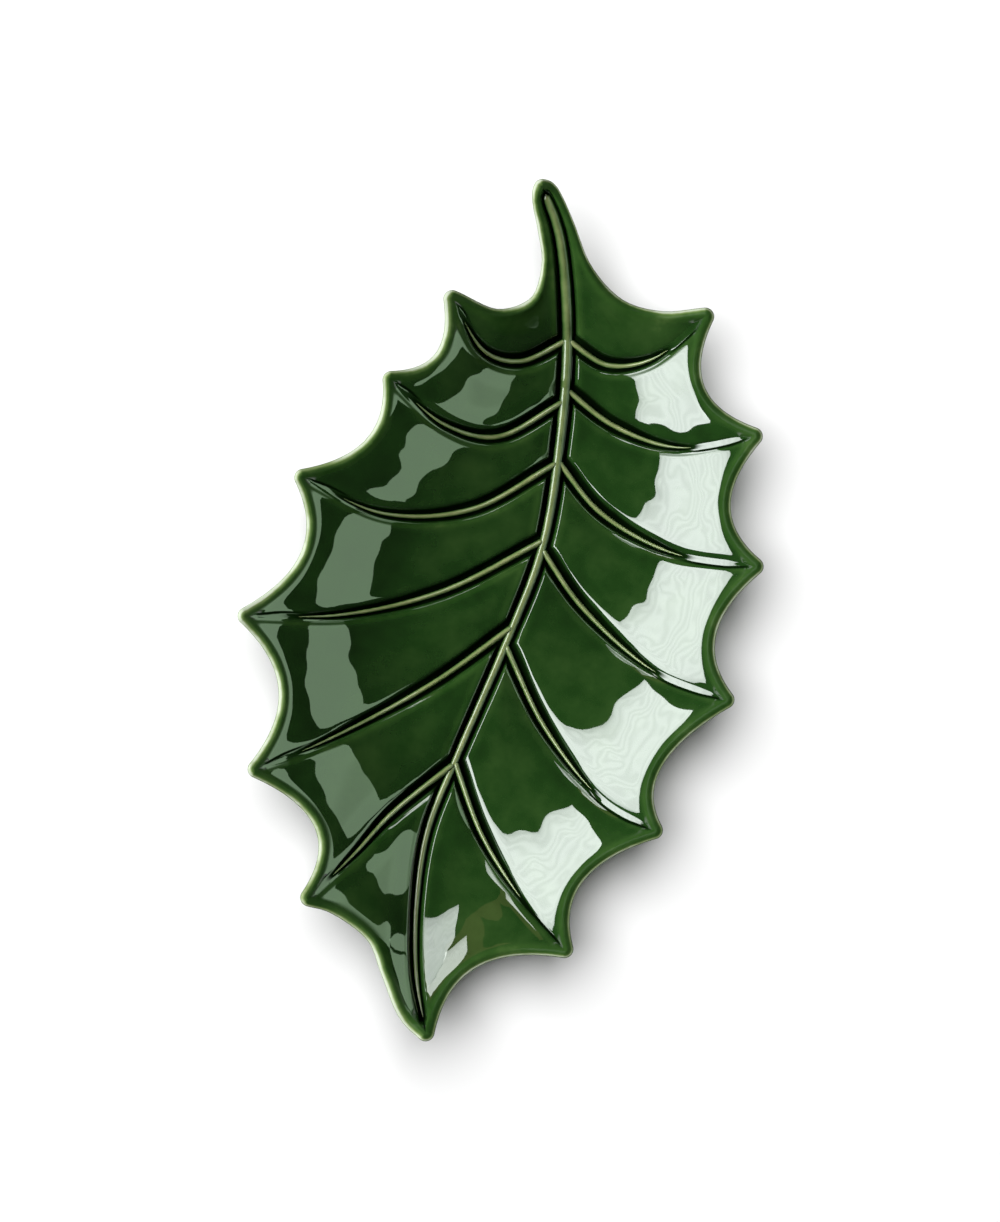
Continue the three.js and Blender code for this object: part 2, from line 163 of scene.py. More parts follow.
# %% Draw the midrib, the veins and the edge
MIDRIB = [
    (-5.2, 166.4), (1.6, 155), (5.8, 144), (12.7, 110), (15.2, 70), (14, 28),
    (5.9, -8), (-8.6, -60), (-15.9, -90), (-16.2, -119), (-12.4, -146), (-5.8, -166.6),
]
LEFT_STALK_EDGE = [(-5.6, 164.6), (-5, 161.2), (-1.2, 150.5), (2, 138), (-1, 122.3), (-15.4, 114.4)]
RIGHT_STALK_EDGE = [
    (-3.3, 166.2), (-1.8, 165), (-0.4, 163), (5.3, 154), (15.4, 137), (30.8, 124.8), (48, 122.1),
]
LEFT_TIP_EDGE = [(-48.4, -122.4), (-30.6, -132.4), (-22.8, -145.6), (-13.4, -161.2)]
LEFT_VEINS = [
    {"root": 110, "by": [(-5, 99), (-19, 100.8)], "spine": (-34.3, 118.8), "hollow": 10.8, "lean": 0.55,
     "swells": (2.8, 1.73), "spreads": (21, 34)},
    {"root": 86, "by": [(-10, 68.3), (-31, 70.3)], "spine": (-53.6, 84.2), "hollow": 11.4, "lean": 0.42,
     "swells": (0.13, 0.49), "spreads": (21, 34)},
    {"root": 61.5, "by": [(-16, 38.6), (-50, 32.3)], "spine": (-82.6, 41.6), "hollow": 13.4, "lean": 0.42,
     "swells": (0.35, 0.35), "spreads": (21, 34)},
    {"root": 30.5, "by": [(-22.7, 5.1), (-60.4, -9.4)], "spine": (-97.2, -15), "hollow": 13.7, "lean": 0.5},
    {"root": -5, "by": [(-22, -31.8), (-58, -58)], "spine": (-85.2, -73.8), "hollow": 15.4, "lean": 0.62},
    {"root": -62, "by": [(-31, -85), (-43, -102)], "spine": (-58, -120.8), "edge": LEFT_TIP_EDGE},
]
RIGHT_VEINS = [
    {"root": 110, "by": [(30, 102.3), (47, 107)], "spine": (64.6, 125.4), "hollow": 13.6, "lean": 0.5},
    {"root": 91, "by": [(35.5, 79), (61, 73.7)], "spine": (89.8, 81.6), "hollow": 12.4, "lean": 0.57},
    {"root": 62.5, "by": [(35, 44.3), (65, 32.3)], "spine": (97, 31.2), "hollow": 12.2, "lean": 0.6},
    {"root": 27, "by": [(32.3, 6.8), (64, -14.8)], "spine": (92.8, -22), "hollow": 12.4, "lean": 0.72},
    {"root": -12.5, "by": [(25, -43.2), (51, -68)], "spine": (72, -76.4), "hollow": 13.2, "lean": 0.64},
    {"root": -61, "by": [(6, -88.6), (26, -112.3)], "spine": (43.6, -127.2), "hollow": 14.4, "lean": 0.58,
     "swells": (1.8, 0.7), "spreads": (19, 18), "ribbon": 0},
]
LEFT_BEAD_RUN = 0.84
RIGHT_BEAD_RUN = 0.7
HOLLOW_STEPS = 60
LIP = 3.57
STALK_SLIMMING = 1.1
STALK_SLIM_RUN = (0, 6, 30, 50)

midrib = Line.through(MIDRIB)


def slimming(along):
    start, full, fade, end = STALK_SLIM_RUN
    return STALK_SLIMMING * smooth(along, start, full) * (1 - smooth(along, fade, end))


class Side:
    def __init__(self, name, outward, rows, stalk_edge, bead_run):
        self.name = name
        self.outward = outward
        self.rows = rows
        self.bead_run = bead_run
        self.veins = [self.vein(row) for row in rows]
        self.corners = [midrib.at(0), *[np.array(row["spine"]) for row in rows], midrib.at(1)]
        self.envelope = Line.through(self.corners)
        self.rims = [self.slim_edge(Line.through([self.corners[0], *stalk_edge, self.corners[1]]))]
        for row, start, end in zip(rows, self.corners[1:], self.corners[2:]):
            self.rims.append(self.hollow(row, start, end))

    def vein(self, row):
        along = np.interp(-row["root"], -midrib.points[:, 1], midrib.lengths)
        return Line.through([midrib.at(along / midrib.length), *row["by"], row["spine"]])

    def slim_edge(self, rim):
        out = self.outward * rim.left(rim.lengths / rim.length)
        return Line(rim.points + out * slimming(rim.lengths)[:, None])

    def hollow(self, row, start, end):
        if "edge" in row:
            return Line.through([start, *row["edge"], end])
        chord = end - start
        across = self.outward * np.array([-chord[1], chord[0]]) / np.linalg.norm(chord)
        pull = start + row["lean"] * chord - 2 * row["hollow"] * across
        t = np.linspace(0, 1, HOLLOW_STEPS + 1)[:, None]
        return Line((1 - t) ** 2 * start + 2 * t * (1 - t) * pull + t**2 * end)

    def facing(self, k, share):
        return self.outward * self.rims[k].left(share)

    def lip_reach(self, k, share):
        along = np.asarray(share) * self.rims[k].length
        return LIP - (slimming(along) if k == 0 else np.zeros_like(along))


sides = [
    Side("left", -1, LEFT_VEINS, LEFT_STALK_EDGE, LEFT_BEAD_RUN),
    Side("right", 1, RIGHT_VEINS, RIGHT_STALK_EDGE, RIGHT_BEAD_RUN),
]
veins = [vein for side in sides for vein in side.veins]
rims = [rim for side in sides for rim in side.rims]
print("midrib", round(midrib.length), "mm,", len(veins), "veins,", len(rims), "edges")

# %% [markdown]
# ## Widths of the ribs and their channels
# The midrib is broad at the stalk and thin at the tip, and each vein thins towards its spine. The beads on
# the right run out sooner than those on the left, so their widths are listed by the share of the bead's
# own run. Past a bead's end a shallow crease goes on to the spine. A channel's flat floor is a little
# wider than its rib, which leaves the dark grooves on both sides.

# %% Set the widths along each rib
MIDRIB_SHARES = [0.0, 0.02, 0.12, 0.24, 0.38, 0.56, 0.8, 0.94, 1.0]
MIDRIB_HALF_WIDTHS = [1.4, 2.1, 2.5, 2.4, 2.0, 1.7, 1.4, 1.0, 0.3]
BEAD_PLACES = [0.0, 0.5, 0.8, 1.0, 1.2]
VEIN_HALF_WIDTHS = [1.4, 1.15, 0.8, 0.4, 0.2]
VEIN_MARGINS = [1.0, 0.9, 0.5, 0.15, 0.0]
MIDRIB_MARGINS = [0.4, 0.4, 0.45, 0.7, 0.7, 0.7, 0.55, 0.45, 0.45]
MIDRIB_RUN = (0.007, 0.985)
MIDRIB_STEPS = 480

midrib_bead = Line(midrib.at(np.linspace(*MIDRIB_RUN, MIDRIB_STEPS)))


def midrib_half(share):
    return np.interp(share, MIDRIB_SHARES, MIDRIB_HALF_WIDTHS)


def midrib_floor(share):
    return midrib_half(share) + np.interp(share, MIDRIB_SHARES, MIDRIB_MARGINS)


def along_bead(place, values):
    return np.interp(place, BEAD_PLACES, values)


def vein_half(place):
    return along_bead(place, VEIN_HALF_WIDTHS)


def vein_floor(place):
    return vein_half(place) + along_bead(place, VEIN_MARGINS)


print("midrib", [round(float(2 * midrib_half(s)), 1) for s in (0.1, 0.5, 0.9)], "mm wide")

# %% [markdown]
# ## The bowl
# The bowl is flat in the middle and rises towards a smooth line through the spines. Its last few
# millimetres curl up to meet the lip, and the underside is the same bowl, lower by the wall. A slow
# unevenness of some hundredths of a millimetre stands for what a hand leaves in clay. It is far too
# small to see as a shape, but a mirror-like glaze shows it as wavy edges on every reflection.

# %% Work out the bowl
WALL = 6
FLOOR_LEVEL = 10.5
BOWL_RISE = 26
BOWL_REACH = 83.5
BOWL_CURVE = 2.28
BOWL_END_BLEND = 5
RIM_RISE = 0.36
RIM_REACH = 3.0
RIM_CURVE = 2.9
Wave = namedtuple("Wave", "height length angle phase")
WAVES = [
    Wave(0.015, 13, 0.4, 0.0),
    Wave(0.014, 17, 1.9, 1.3),
    Wave(0.018, 23, 2.7, 4.1),
    Wave(0.011, 9, 1.1, 2.2),
    Wave(0.010, 11, 2.3, 5.0),
    Wave(0.020, 31, 0.9, 3.3),
]


def bowl(points):
    rises = 0
    for side in sides:
        inward = side.envelope.nearest(points)[0] / BOWL_REACH
        rises = rises + np.clip(1 - inward, 0, 1) ** (BOWL_CURVE * BOWL_END_BLEND)
    return FLOOR_LEVEL + BOWL_RISE * rises ** (1 / BOWL_END_BLEND)


def under_height(points):
    return bowl(points) - WALL


def rim_distance(points):
    return np.min([rim.nearest(points)[0] for rim in rims], axis=0)


def rim_rise(to_rim):
    return RIM_RISE * np.clip(1 - to_rim / RIM_REACH, 0, 1) ** RIM_CURVE


def unevenness(points):
    total = 0
    for wave in WAVES:
        along = points[..., 0] * math.cos(wave.angle) + points[..., 1] * math.sin(wave.angle)
        total = total + wave.height * np.sin(2 * math.pi * along / wave.length + wave.phase)
    return total


print("bowl", [round(float(bowl(midrib.at(share))), 1) for share in (0, 0.5, 1)], "mm over the table")

# %% [markdown]
# ## Relief beside the ribs
# Every rib lies in a channel with rounded shoulders, and at the veins a short flank slopes down to it.
# Wider than both, the lobes hollow beside a rib and swell between the ribs. How deep they hollow differs
# from the stalk to the tip and from one side of a rib to the other. No view from above shows these
# depths. Most of them, the bowl's curve and the curl at its rim are rounded results of a search outside
# this script, which tried values until mirrored directions fell close to the reflections in the
# photograph. Some were then moved. They are a reading of the picture, not a measure. The differences are
# blended over some millimetres, because the glaze would show a step as a broken reflection. For a set of
# points, one record for each rib holds all that the heights and the glaze need to know of it.

# %% Measure the relief beside each rib
CHANNEL_DEPTH = 2.1
CREASE_DEPTHS = [2.1, 1.9, 1.4, 0.8, 0.45]
MIDRIB_SHOULDER = 1.6
STALK_SIDE_SHOULDERS = [1.8, 1.8, 1.6, 1.2, 0.9]
TIP_SIDE_SHOULDERS = [1.4, 1.4, 1.3, 1.1, 0.9]
FLANK_DROP = 0.5
MIDRIB_STALK_RUN = (0.12, 0.2)
MIDRIB_TIP_RUN = (0.69, 0.85)
MIDRIB_BLEND = 4
VEIN_BLEND = 5
# The pools beside the ribs are pooled glaze and painted shade. They are wider on the stalk side of a vein
# and on the left of the midrib, where the lobes turn away from the lamps.
MIDRIB_POOLS_AND_SHADE = {"left": (0.4, 1.1, 0.45), "right": (0.25, 0.6, 0.3)}
MIDRIB_POOL_RUN = (0.1, 0.35)
STALK_SIDE_POOLS_AND_SHADE = [1.5, 1.35, 0.9, 0.6, 0.35]
TIP_SIDE_POOLS_AND_SHADE = [0.65, 0.6, 0.5, 0.4, 0.3]
# The crests are thin glaze with a painted highlight, strongest on the tip side of a vein, which faces the
# lamps.
MIDRIB_CREST = 0.14
STALK_SIDE_CREST = 0.05
TIP_SIDE_CREST_AND_HIGHLIGHT = 0.17
MIDRIB_RUN_OUT = 1.0
VEIN_RUN_OUT = 2.5
RIBBON_RUN = (0.9, 1.1)
Relief = namedtuple("Relief", "vein_swell vein_spread midrib_swell midrib_spread")
RELIEF = {
    "left": Relief(0.85, 23, (0.05, 0.21, 2.07), (26, 21)),
    "right": Relief(1.8, 19, (1.3, 1.3, 2.59), (13.5, 15.2)),
}
Gap = namedtuple(
    "Gap",
    "distance share past_floor depth shoulder flank swell spread pool crest run_out ribbon ditch",
)


def midrib_gap(points):
    distance, share, turn = midrib_bead.nearest(points)
    from_stalk, to_tip = smooth(share, *MIDRIB_STALK_RUN), smooth(share, *MIDRIB_TIP_RUN)
    to_right = smooth(distance * turn, -MIDRIB_BLEND, MIDRIB_BLEND)
    swells, spreads, pools = [], [], []
    for side in sides:
        stalk, middle, tip = RELIEF[side.name].midrib_swell
        swells.append(mix(mix(stalk, middle, from_stalk), tip, to_tip))
        spreads.append(mix(*RELIEF[side.name].midrib_spread, to_tip))
        # Pooled glaze and painted shade, wider on the midrib's left.
        stalk, middle, tip = MIDRIB_POOLS_AND_SHADE[side.name]
        pools.append(mix(mix(stalk, middle, smooth(share, *MIDRIB_POOL_RUN)), tip, to_tip))
    return Gap(
        distance=distance,
        share=share,
        past_floor=distance - midrib_floor(mix(*MIDRIB_RUN, share)),
        depth=CHANNEL_DEPTH,
        shoulder=MIDRIB_SHOULDER,
        flank=0,
        swell=mix(*swells, to_right),
        spread=mix(*spreads, to_right),
        pool=mix(*pools, to_right),
        crest=MIDRIB_CREST,
        run_out=MIDRIB_RUN_OUT,
        ribbon=0,
        ditch=0,
    )


def vein_gap(points, side, vein, row):
    distance, share, turn = vein.nearest(points)
    place = share / side.bead_run
    swells = row.get("swells", [RELIEF[side.name].vein_swell] * 2)
    spreads = row.get("spreads", [RELIEF[side.name].vein_spread] * 2)
    stalk_side = side.outward * turn > 0
    to_stalk = smooth(distance * turn * side.outward, -VEIN_BLEND, VEIN_BLEND)
    shoulders = [along_bead(place, one) for one in (STALK_SIDE_SHOULDERS, TIP_SIDE_SHOULDERS)]
    # Pooled glaze and painted shade: the stalk side gets the wider pool.
    pools = [along_bead(place, one) for one in (STALK_SIDE_POOLS_AND_SHADE, TIP_SIDE_POOLS_AND_SHADE)]
    ribbon = smooth(place, *RIBBON_RUN) * row.get("ribbon", 1)
    return Gap(
        distance=distance,
        share=share,
        past_floor=distance - vein_floor(place),
        depth=along_bead(place, CREASE_DEPTHS),
        shoulder=np.where(stalk_side, *shoulders),
        flank=FLANK_DROP,
        swell=mix(*swells[::-1], to_stalk),
        spread=mix(*spreads[::-1], to_stalk),
        pool=np.where(stalk_side, *pools),
        crest=np.where(stalk_side, STALK_SIDE_CREST, TIP_SIDE_CREST_AND_HIGHLIGHT),
        run_out=VEIN_RUN_OUT,
        ribbon=ribbon,
        ditch=ribbon * (turn < 0),
    )


def rib_gaps(points):
    gaps = [midrib_gap(points)]
    for side in sides:
        gaps += [vein_gap(points, side, vein, row) for vein, row in zip(side.veins, side.rows)]
    return gaps


print("records for a point:", len(rib_gaps(midrib.at(0.5))))

# %% [markdown]
# ## Ribbons and the finished top
# Past the end of most beads a flat ribbon runs on to the spine. It is sunk a little into the lobe, level
# from side to side, and narrows at its end. Its height is that of the open lobe along the vein's own line,
# so those heights are worked out once and looked up. All relief runs out at the rim.

# %% Work out the heights of the top
FLANK_WIDTH = 3.4
FLANK_CURVE = 1.3
SWELL_BLEND = 4
SWELL_RUN_OUT = 2.5
RIM_SWELL = 0.83
RIBBON_HALF = 1.7
RIBBON_EDGE = 0.6
RIBBON_SINK = 0.2
RIBBON_TAPER = (0.88, 0.98)
RIBBON_END = 0.4
RIBBON_STEPS = 120
RIBBON_SHARES = np.linspace(0, 1, RIBBON_STEPS)


def ribbon_half(share):
    return RIBBON_HALF * mix(1, RIBBON_END, smooth(share, *RIBBON_TAPER))


def open_height(points, gaps, to_rim):
    low = 0
    for gap in gaps:
        hollow = gap.swell * np.clip(1 - gap.distance / gap.spread, 0, 1) ** 2
        low = low + hollow**SWELL_BLEND
    fade = smooth(to_rim, 0, SWELL_RUN_OUT)
    swell = low ** (1 / SWELL_BLEND) * mix(RIM_SWELL, 1, fade)
    return bowl(points) + rim_rise(to_rim) - swell + unevenness(points) * fade


def vein_heights(vein):
    points = vein.at(RIBBON_SHARES)
    return open_height(points, rib_gaps(points), rim_distance(points))


RIBBONS = [vein_heights(vein) for vein in veins]


def top_height(points):
    to_rim = rim_distance(points)
    gaps = rib_gaps(points)
    channel = 0
    for gap in gaps:
        groove = 1 - smooth(gap.past_floor, 0, gap.shoulder)
        flank = np.clip(1 - gap.past_floor / FLANK_WIDTH, 0, 1) ** FLANK_CURVE
        section = mix(gap.flank * flank, gap.depth, groove)
        channel = np.maximum(channel, section * smooth(to_rim, 0, gap.run_out))
    height = open_height(points, gaps, to_rim) - channel
    for gap, along in zip(gaps[1:], RIBBONS):
        inward = ribbon_half(gap.share) - gap.distance
        flat = smooth(inward, 0, RIBBON_EDGE) * gap.ribbon
        ribbon = np.interp(gap.share, RIBBON_SHARES, along) - RIBBON_SINK
        height = mix(height, ribbon, flat * smooth(to_rim, 0, gap.run_out))
    return height


print("midrib's channel", round(float(top_height(midrib.at(0.5))), 2), "mm over the table")

# %% [markdown]
# ## How thick the glaze lies, with painted light and shade
# A runny glaze leaves the edges and gathers in the hollows. Thin, it lets the pale clay through; thick, it
# is nearly black. Each point of the dish keeps one number for how thin it lies: close to 0 in the grooves
# beside a rib and in the dark line along a ribbon, about a half on the open lobes, a little more on the
# shoulders of the channels, and up to 1 on the lip. The number holds painted light and shade as well. The
# grooves and the dark line along a ribbon are pooled glaze and painted shade; the grooves are wider on the
# stalk side of each vein and on the left of the midrib, where the lobes turn away from the lamps. The lobes
# are darker with painted shade for some millimetres beside each channel. The shoulders are thin glaze with
# a painted highlight, strongest on the tip side of each vein, which faces the lamps. The left lobes are
# lighter inside, and their outer walls, which turn away from the window on the left, are darker with
# painted shade. The lobes beside the stalk are lighter. The lip is pale on the left, a painted highlight
# where it faces that window. On the right it is olive, with a tan line along its outside. On its outer
# side below the edge the lip is dark with painted shade.

# %% Measure the glaze, with painted light and shade
OPEN_GLAZE = 0.53
# The grooves' value: pooled glaze and painted shade.
POOL_AND_SHADE_GLAZE = 0.04
POOL_RUN = (0.3, 1.4)
EDGE_GLAZE = 0.62
EDGE_REACH = 2.6
CREST_OFFSET = 1.5
CREST_WIDTH = 1.5
# Painted shade: the lobes are darker within BANK millimetres of each channel.
BANK = 11
BANK_SHADE = 0.11
DITCH_WIDTH = 0.45
# Painted shade on the outer left walls, which turn away from the window on the left. The inner left lobes
# are lighter.
LEFT_BLEND = 12
OUTER_RUN = (34, 62)
INNER_GAIN = 0.045
OUTER_WALL_SHADE = 0.085
STALK_LOBES = (98, 116)
STALK_GAIN = 0.05
# Painted highlight: the lip is paler where it faces the window on the left.
PAINTED_HIGHLIGHT_SIDE = (-0.97, 0.1)
PAINTED_HIGHLIGHT_RUN = (-0.1, 0.7)
PAINTED_HIGHLIGHT_STEPS = [(0.18, (0, 0.5)), (0.2, (0.5, 0.8))]
TAN_GAIN = 0.38
TAN_TURN = 1.0
TAN_WIDTH = 0.22
# Painted shade: the lip turns dark on its outer side, below the edge.
UNDER_EDGE_SHADE = 0.55
UNDER_EDGE_SHADE_RUN = (1.2, 1.5)


def top_glaze_light_and_shade(points):
    pool, crest, bank = 0, 0, 0
    for gap in rib_gaps(points):
        # Grooves and the dark line along a ribbon: pooled glaze and painted shade.
        ditch = np.exp(-(((gap.distance - ribbon_half(gap.share)) / DITCH_WIDTH) ** 2)) * gap.ditch
        pool_start, pool_end = [share * gap.pool for share in POOL_RUN]
        groove = (1 - smooth(gap.past_floor, pool_start, pool_end)) * (1 - gap.ribbon)
        pool = np.maximum(pool, np.maximum(groove, ditch))
        # Shoulders: thin glaze and a painted highlight.
        peak = (gap.past_floor - pool_end - CREST_OFFSET) / CREST_WIDTH
        crest = np.maximum(crest, gap.crest * np.exp(-(peak**2)))
        bank = np.maximum(bank, 1 - smooth(gap.past_floor, 0, BANK))
    distance, _, turn = midrib_bead.nearest(points)
    left = smooth(-distance * turn, 0, LEFT_BLEND)
    # Painted shade on the outer left walls.
    outer = left * smooth(distance, *OUTER_RUN)
    open_glaze = OPEN_GLAZE + INNER_GAIN * (left - outer) - OUTER_WALL_SHADE * outer
    # Painted shade beside each channel, less on the outer left walls.
    open_glaze = open_glaze - BANK_SHADE * bank * (1 - outer)
    open_glaze = open_glaze + STALK_GAIN * smooth(points[..., 1], *STALK_LOBES) + crest
    edge = 1 - smooth(rim_distance(points), 0, EDGE_REACH)
    return mix(mix(open_glaze, EDGE_GLAZE, edge), POOL_AND_SHADE_GLAZE, pool * (1 - edge))


def lip_glaze_light_and_shade(turn, outs):
    # Painted highlight on the lip where it faces the left window.
    on_painted_highlight_side = smooth(outs @ np.array(PAINTED_HIGHLIGHT_SIDE), *PAINTED_HIGHLIGHT_RUN)[:, None]
    olive = EDGE_GLAZE + TAN_GAIN * np.exp(-(((turn - TAN_TURN) / TAN_WIDTH) ** 2))
    pale = EDGE_GLAZE + sum(gain * smooth(turn, *run) for gain, run in PAINTED_HIGHLIGHT_STEPS)
    # Painted shade below the lip's outer edge.
    return mix(olive, pale, on_painted_highlight_side) - UNDER_EDGE_SHADE * smooth(turn, *UNDER_EDGE_SHADE_RUN)


print("glaze in the midrib's channel", round(float(top_glaze_light_and_shade(midrib.at(0.5))), 2))

# %% [markdown]
# ## One closed skin
# The dish is a single closed mesh: rows of points over each lobe on the top, the same lobes below, and a
# lip between them. A small class gathers such grids, joins the points they share and drops faces that
# shrink to nothing where a lobe ends in a point.

# %% Gather grids into a mesh
JOIN_DIGITS = 4


class Skin:
    def __init__(self):
        self.points, self.glazes, self.faces = [], [], []
        self.count = 0

    def add(self, points, glaze):
        index = self.count + np.arange(points[..., 0].size).reshape(points.shape[:-1])
        self.points.append(points.reshape(-1, 3))
        self.glazes.append(np.broadcast_to(glaze, points.shape[:-1]).reshape(-1))
        self.count += index.size
        return index

    def grid(self, points, glaze, turned):
        index = self.add(points, glaze)
        corners = [index[:-1, :-1], index[1:, :-1], index[1:, 1:], index[:-1, 1:]]
        quads = np.stack(corners[::-1] if turned else corners, axis=-1)
        self.faces.extend(quads.reshape(-1, 4).tolist())

    def band(self, left, right, glaze, turned):
        ends = [self.add(line, glaze) for line in (left, right)]
        i, j = 0, 0
        while i < len(left) - 1 or j < len(right) - 1:
            on_left = j == len(right) - 1 or (i < len(left) - 1 and left[i + 1, 1] > right[j + 1, 1])
            corner = ends[0][i + 1] if on_left else ends[1][j + 1]
            face = [ends[0][i], corner, ends[1][j]]
            self.faces.append(face[::-1] if turned else face)
            i, j = (i + 1, j) if on_left else (i, j + 1)

    def mesh(self, name):
        points, glaze = np.vstack(self.points), np.concatenate(self.glazes)
        rounded = points.round(JOIN_DIGITS)
        _, first, joined = np.unique(rounded, axis=0, return_index=True, return_inverse=True)
        joined = joined.reshape(-1)
        faces = []
        for face in self.faces:
            ring = list(dict.fromkeys(int(joined[i]) for i in face))
            if len(ring) > 2:
                faces.append(ring)
        mesh = bpy.data.meshes.new(name)
        mesh.from_pydata(points[first] * MM, [], faces)
        values = mesh.attributes.new("glaze", "FLOAT", "POINT")
        values.data.foreach_set("value", glaze[first].astype(np.float32))
        mesh.shade_smooth()
        return mesh


# %% [markdown]
# ## Rows over the lobes
# A lobe lies between two veins. Its rows run from the midrib's channel to the rim, and they lie close
# together beside the channels and the rim, where the surface turns quickly. Each row is a blend of the two
# veins.

# %% Lay rows over each lobe
CHANNEL_LINES = np.arange(0.4, 5.7, 0.4)
RIM_LINES = np.array([0.3, 0.7, 1.2, 1.8, 2.5, 3.3, 4.2, 5.2, 6.3])
ROW_STEPS = 22
COLUMN_STEPS = 44
BRANCH_STEPS = 120
BRANCH_SEARCH_STEPS = 960
END_LOBE_FADE = 3
EDGE_ROOM = 0.6
ROOM_STEPS = 500
ROOM_SHARES = np.linspace(0, 1, ROOM_STEPS)
MIDRIB_ROOM = rim_distance(midrib.at(ROOM_SHARES))


def spread(length, start_lines, end_lines, steps):
    safe = np.maximum(length, 2 * (start_lines[-1] + end_lines[-1]))[..., None]
    starts, ends = start_lines / safe, 1 - end_lines[::-1] / safe
    inner = np.arange(1, steps) / steps
    middle = mix(starts[..., -1:], ends[..., :1], inner)
    edges = np.zeros_like(safe)
    return np.concatenate([edges, starts, middle, ends, edges + 1], axis=-1)


def inner_gap(share):
    return np.minimum(midrib_floor(share), EDGE_ROOM * np.interp(share, ROOM_SHARES, MIDRIB_ROOM))


def floor_edge(side, share):
    return midrib.at(share) + side.outward * midrib.left(share) * inner_gap(share)[..., None]


def branch(side, vein):
    shares = np.linspace(0, 1, BRANCH_SEARCH_STEPS)
    distance, station, _ = midrib.nearest(vein.at(shares))
    start = int(np.argmax(distance > inner_gap(station)))
    points = vein.at(mix(shares[start], 1, np.linspace(0, 1, BRANCH_STEPS)))
    points[0] = floor_edge(side, station[start])
    return station[start], Line(points)


def lobe_rows(side, k, branches):
    upper, lower = branches[k], branches[k + 1]
    rim = side.rims[k]
    start, end = (upper[0] if upper else 0), (lower[0] if lower else 1)
    inner_length = (end - start) * midrib.length
    fade = 1 if upper and lower else END_LOBE_FADE

    def column_shares(t):
        lengths = [one[1].length if one else 0 for one in (upper, lower)]
        return spread(mix(*lengths, t), CHANNEL_LINES, RIM_LINES, COLUMN_STEPS)

    def row_shares(s):
        return spread(mix(inner_length, rim.length, s), CHANNEL_LINES, CHANNEL_LINES, ROW_STEPS)

    def straight(s, t):
        inner = floor_edge(side, mix(start, end, t))
        return mix(inner, rim.at(t), s[..., None])

    def bend(one, s, t, weight):
        return (one[1].at(s) - straight(s, np.full_like(s, t))) * weight[..., None] if one else 0

    middle = column_shares(np.array(0.5))
    t = row_shares(middle).T
    columns = np.arange(middle.size)
    s = column_shares(t)[:, columns, columns]
    rows = np.arange(len(t))[:, None]
    t = np.take_along_axis(row_shares(s), np.broadcast_to(rows, s.shape)[..., None], axis=-1)[..., 0]
    return straight(s, t) + bend(upper, s, 0, (1 - t) ** fade) + bend(lower, s, 1, t**fade)


lobes = {}
for side in sides:
    branches = [None, *[branch(side, vein) for vein in side.veins], None]
    lobes[side.name] = [lobe_rows(side, k, branches) for k in range(len(side.rims))]
print("rows and columns of a lobe:", lobes["left"][0].shape[:2])

# %% [markdown]
# ## The lip
# The lip's section is half an ellipse that leaves the wall without a kink. It is swept along the rim, and
# at a spine, at the stalk's end and at the leaf's tip it fans round the corner, which gives the spines
# their small round tips.

# %% Sweep the lip round the rim
LIP_STEPS = 18
LEAN_REACH = 1.0
FAN_STEP = math.pi / 20


def fan(start, end):
    turn = math.atan2(start[0] * end[1] - start[1] * end[0], float(start @ end))
    angles = np.linspace(0, turn, 2 + int(abs(turn) / FAN_STEP))[:, None]
    return start * np.cos(angles) + np.array([-start[1], start[0]]) * np.sin(angles)


def unit(vector):
    return vector / np.linalg.norm(vector)


def lift(plan, height):
    return np.concatenate([plan, height[..., None]], axis=-1)


def lip_stands(side, k):
    other = sides[1 - sides.index(side)]
    last = len(side.rims) - 1
    points = lobes[side.name][k][:, -1]
    shares = side.rims[k].nearest(points)[1]
    outs = side.facing(k, shares)
    before = side.facing(k - 1, 1) if k else other.facing(0, 0)
    after = side.facing(k + 1, 0) if k < last else other.facing(last, 1)
    head = fan(unit(before + outs[0]), outs[0])
    tail = fan(outs[-1], unit(outs[-1] + after))
    points = np.vstack([np.repeat(points[:1], len(head) - 1, axis=0), points])
    points = np.vstack([points, np.repeat(points[-1:], len(tail) - 1, axis=0)])
    reach = side.lip_reach(k, side.rims[k].nearest(points)[1])
    return points, np.vstack([head[:-1], outs, tail[1:]]), reach


def lip_rows(points, outs, reach):
    turn = np.linspace(0, math.pi, LIP_STEPS + 1)
    top, under = top_height(points)[:, None], under_height(points)[:, None]
    lean = (bowl(points) - bowl(points - outs))[:, None] + RIM_RISE * RIM_CURVE / RIM_REACH
    reach = reach[:, None] * np.sin(turn)
    height = mix(top, under, (1 - np.cos(turn)) / 2) + lean * LEAN_REACH * np.tanh(reach / LEAN_REACH)
    plan = points[:, None] + outs[:, None] * reach[..., None]
    return lift(plan, height), lip_glaze_light_and_shade(turn, outs)


# %% [markdown]
# ## The dish
# Now the grids come together: the top of every lobe, the floor of the midrib's channel, the lip and the
# underside, which needs far fewer columns because nothing is pressed into it.

# %% Build the dish
UNDER_COLUMNS = 12
FLOOR_STATIONS = 500


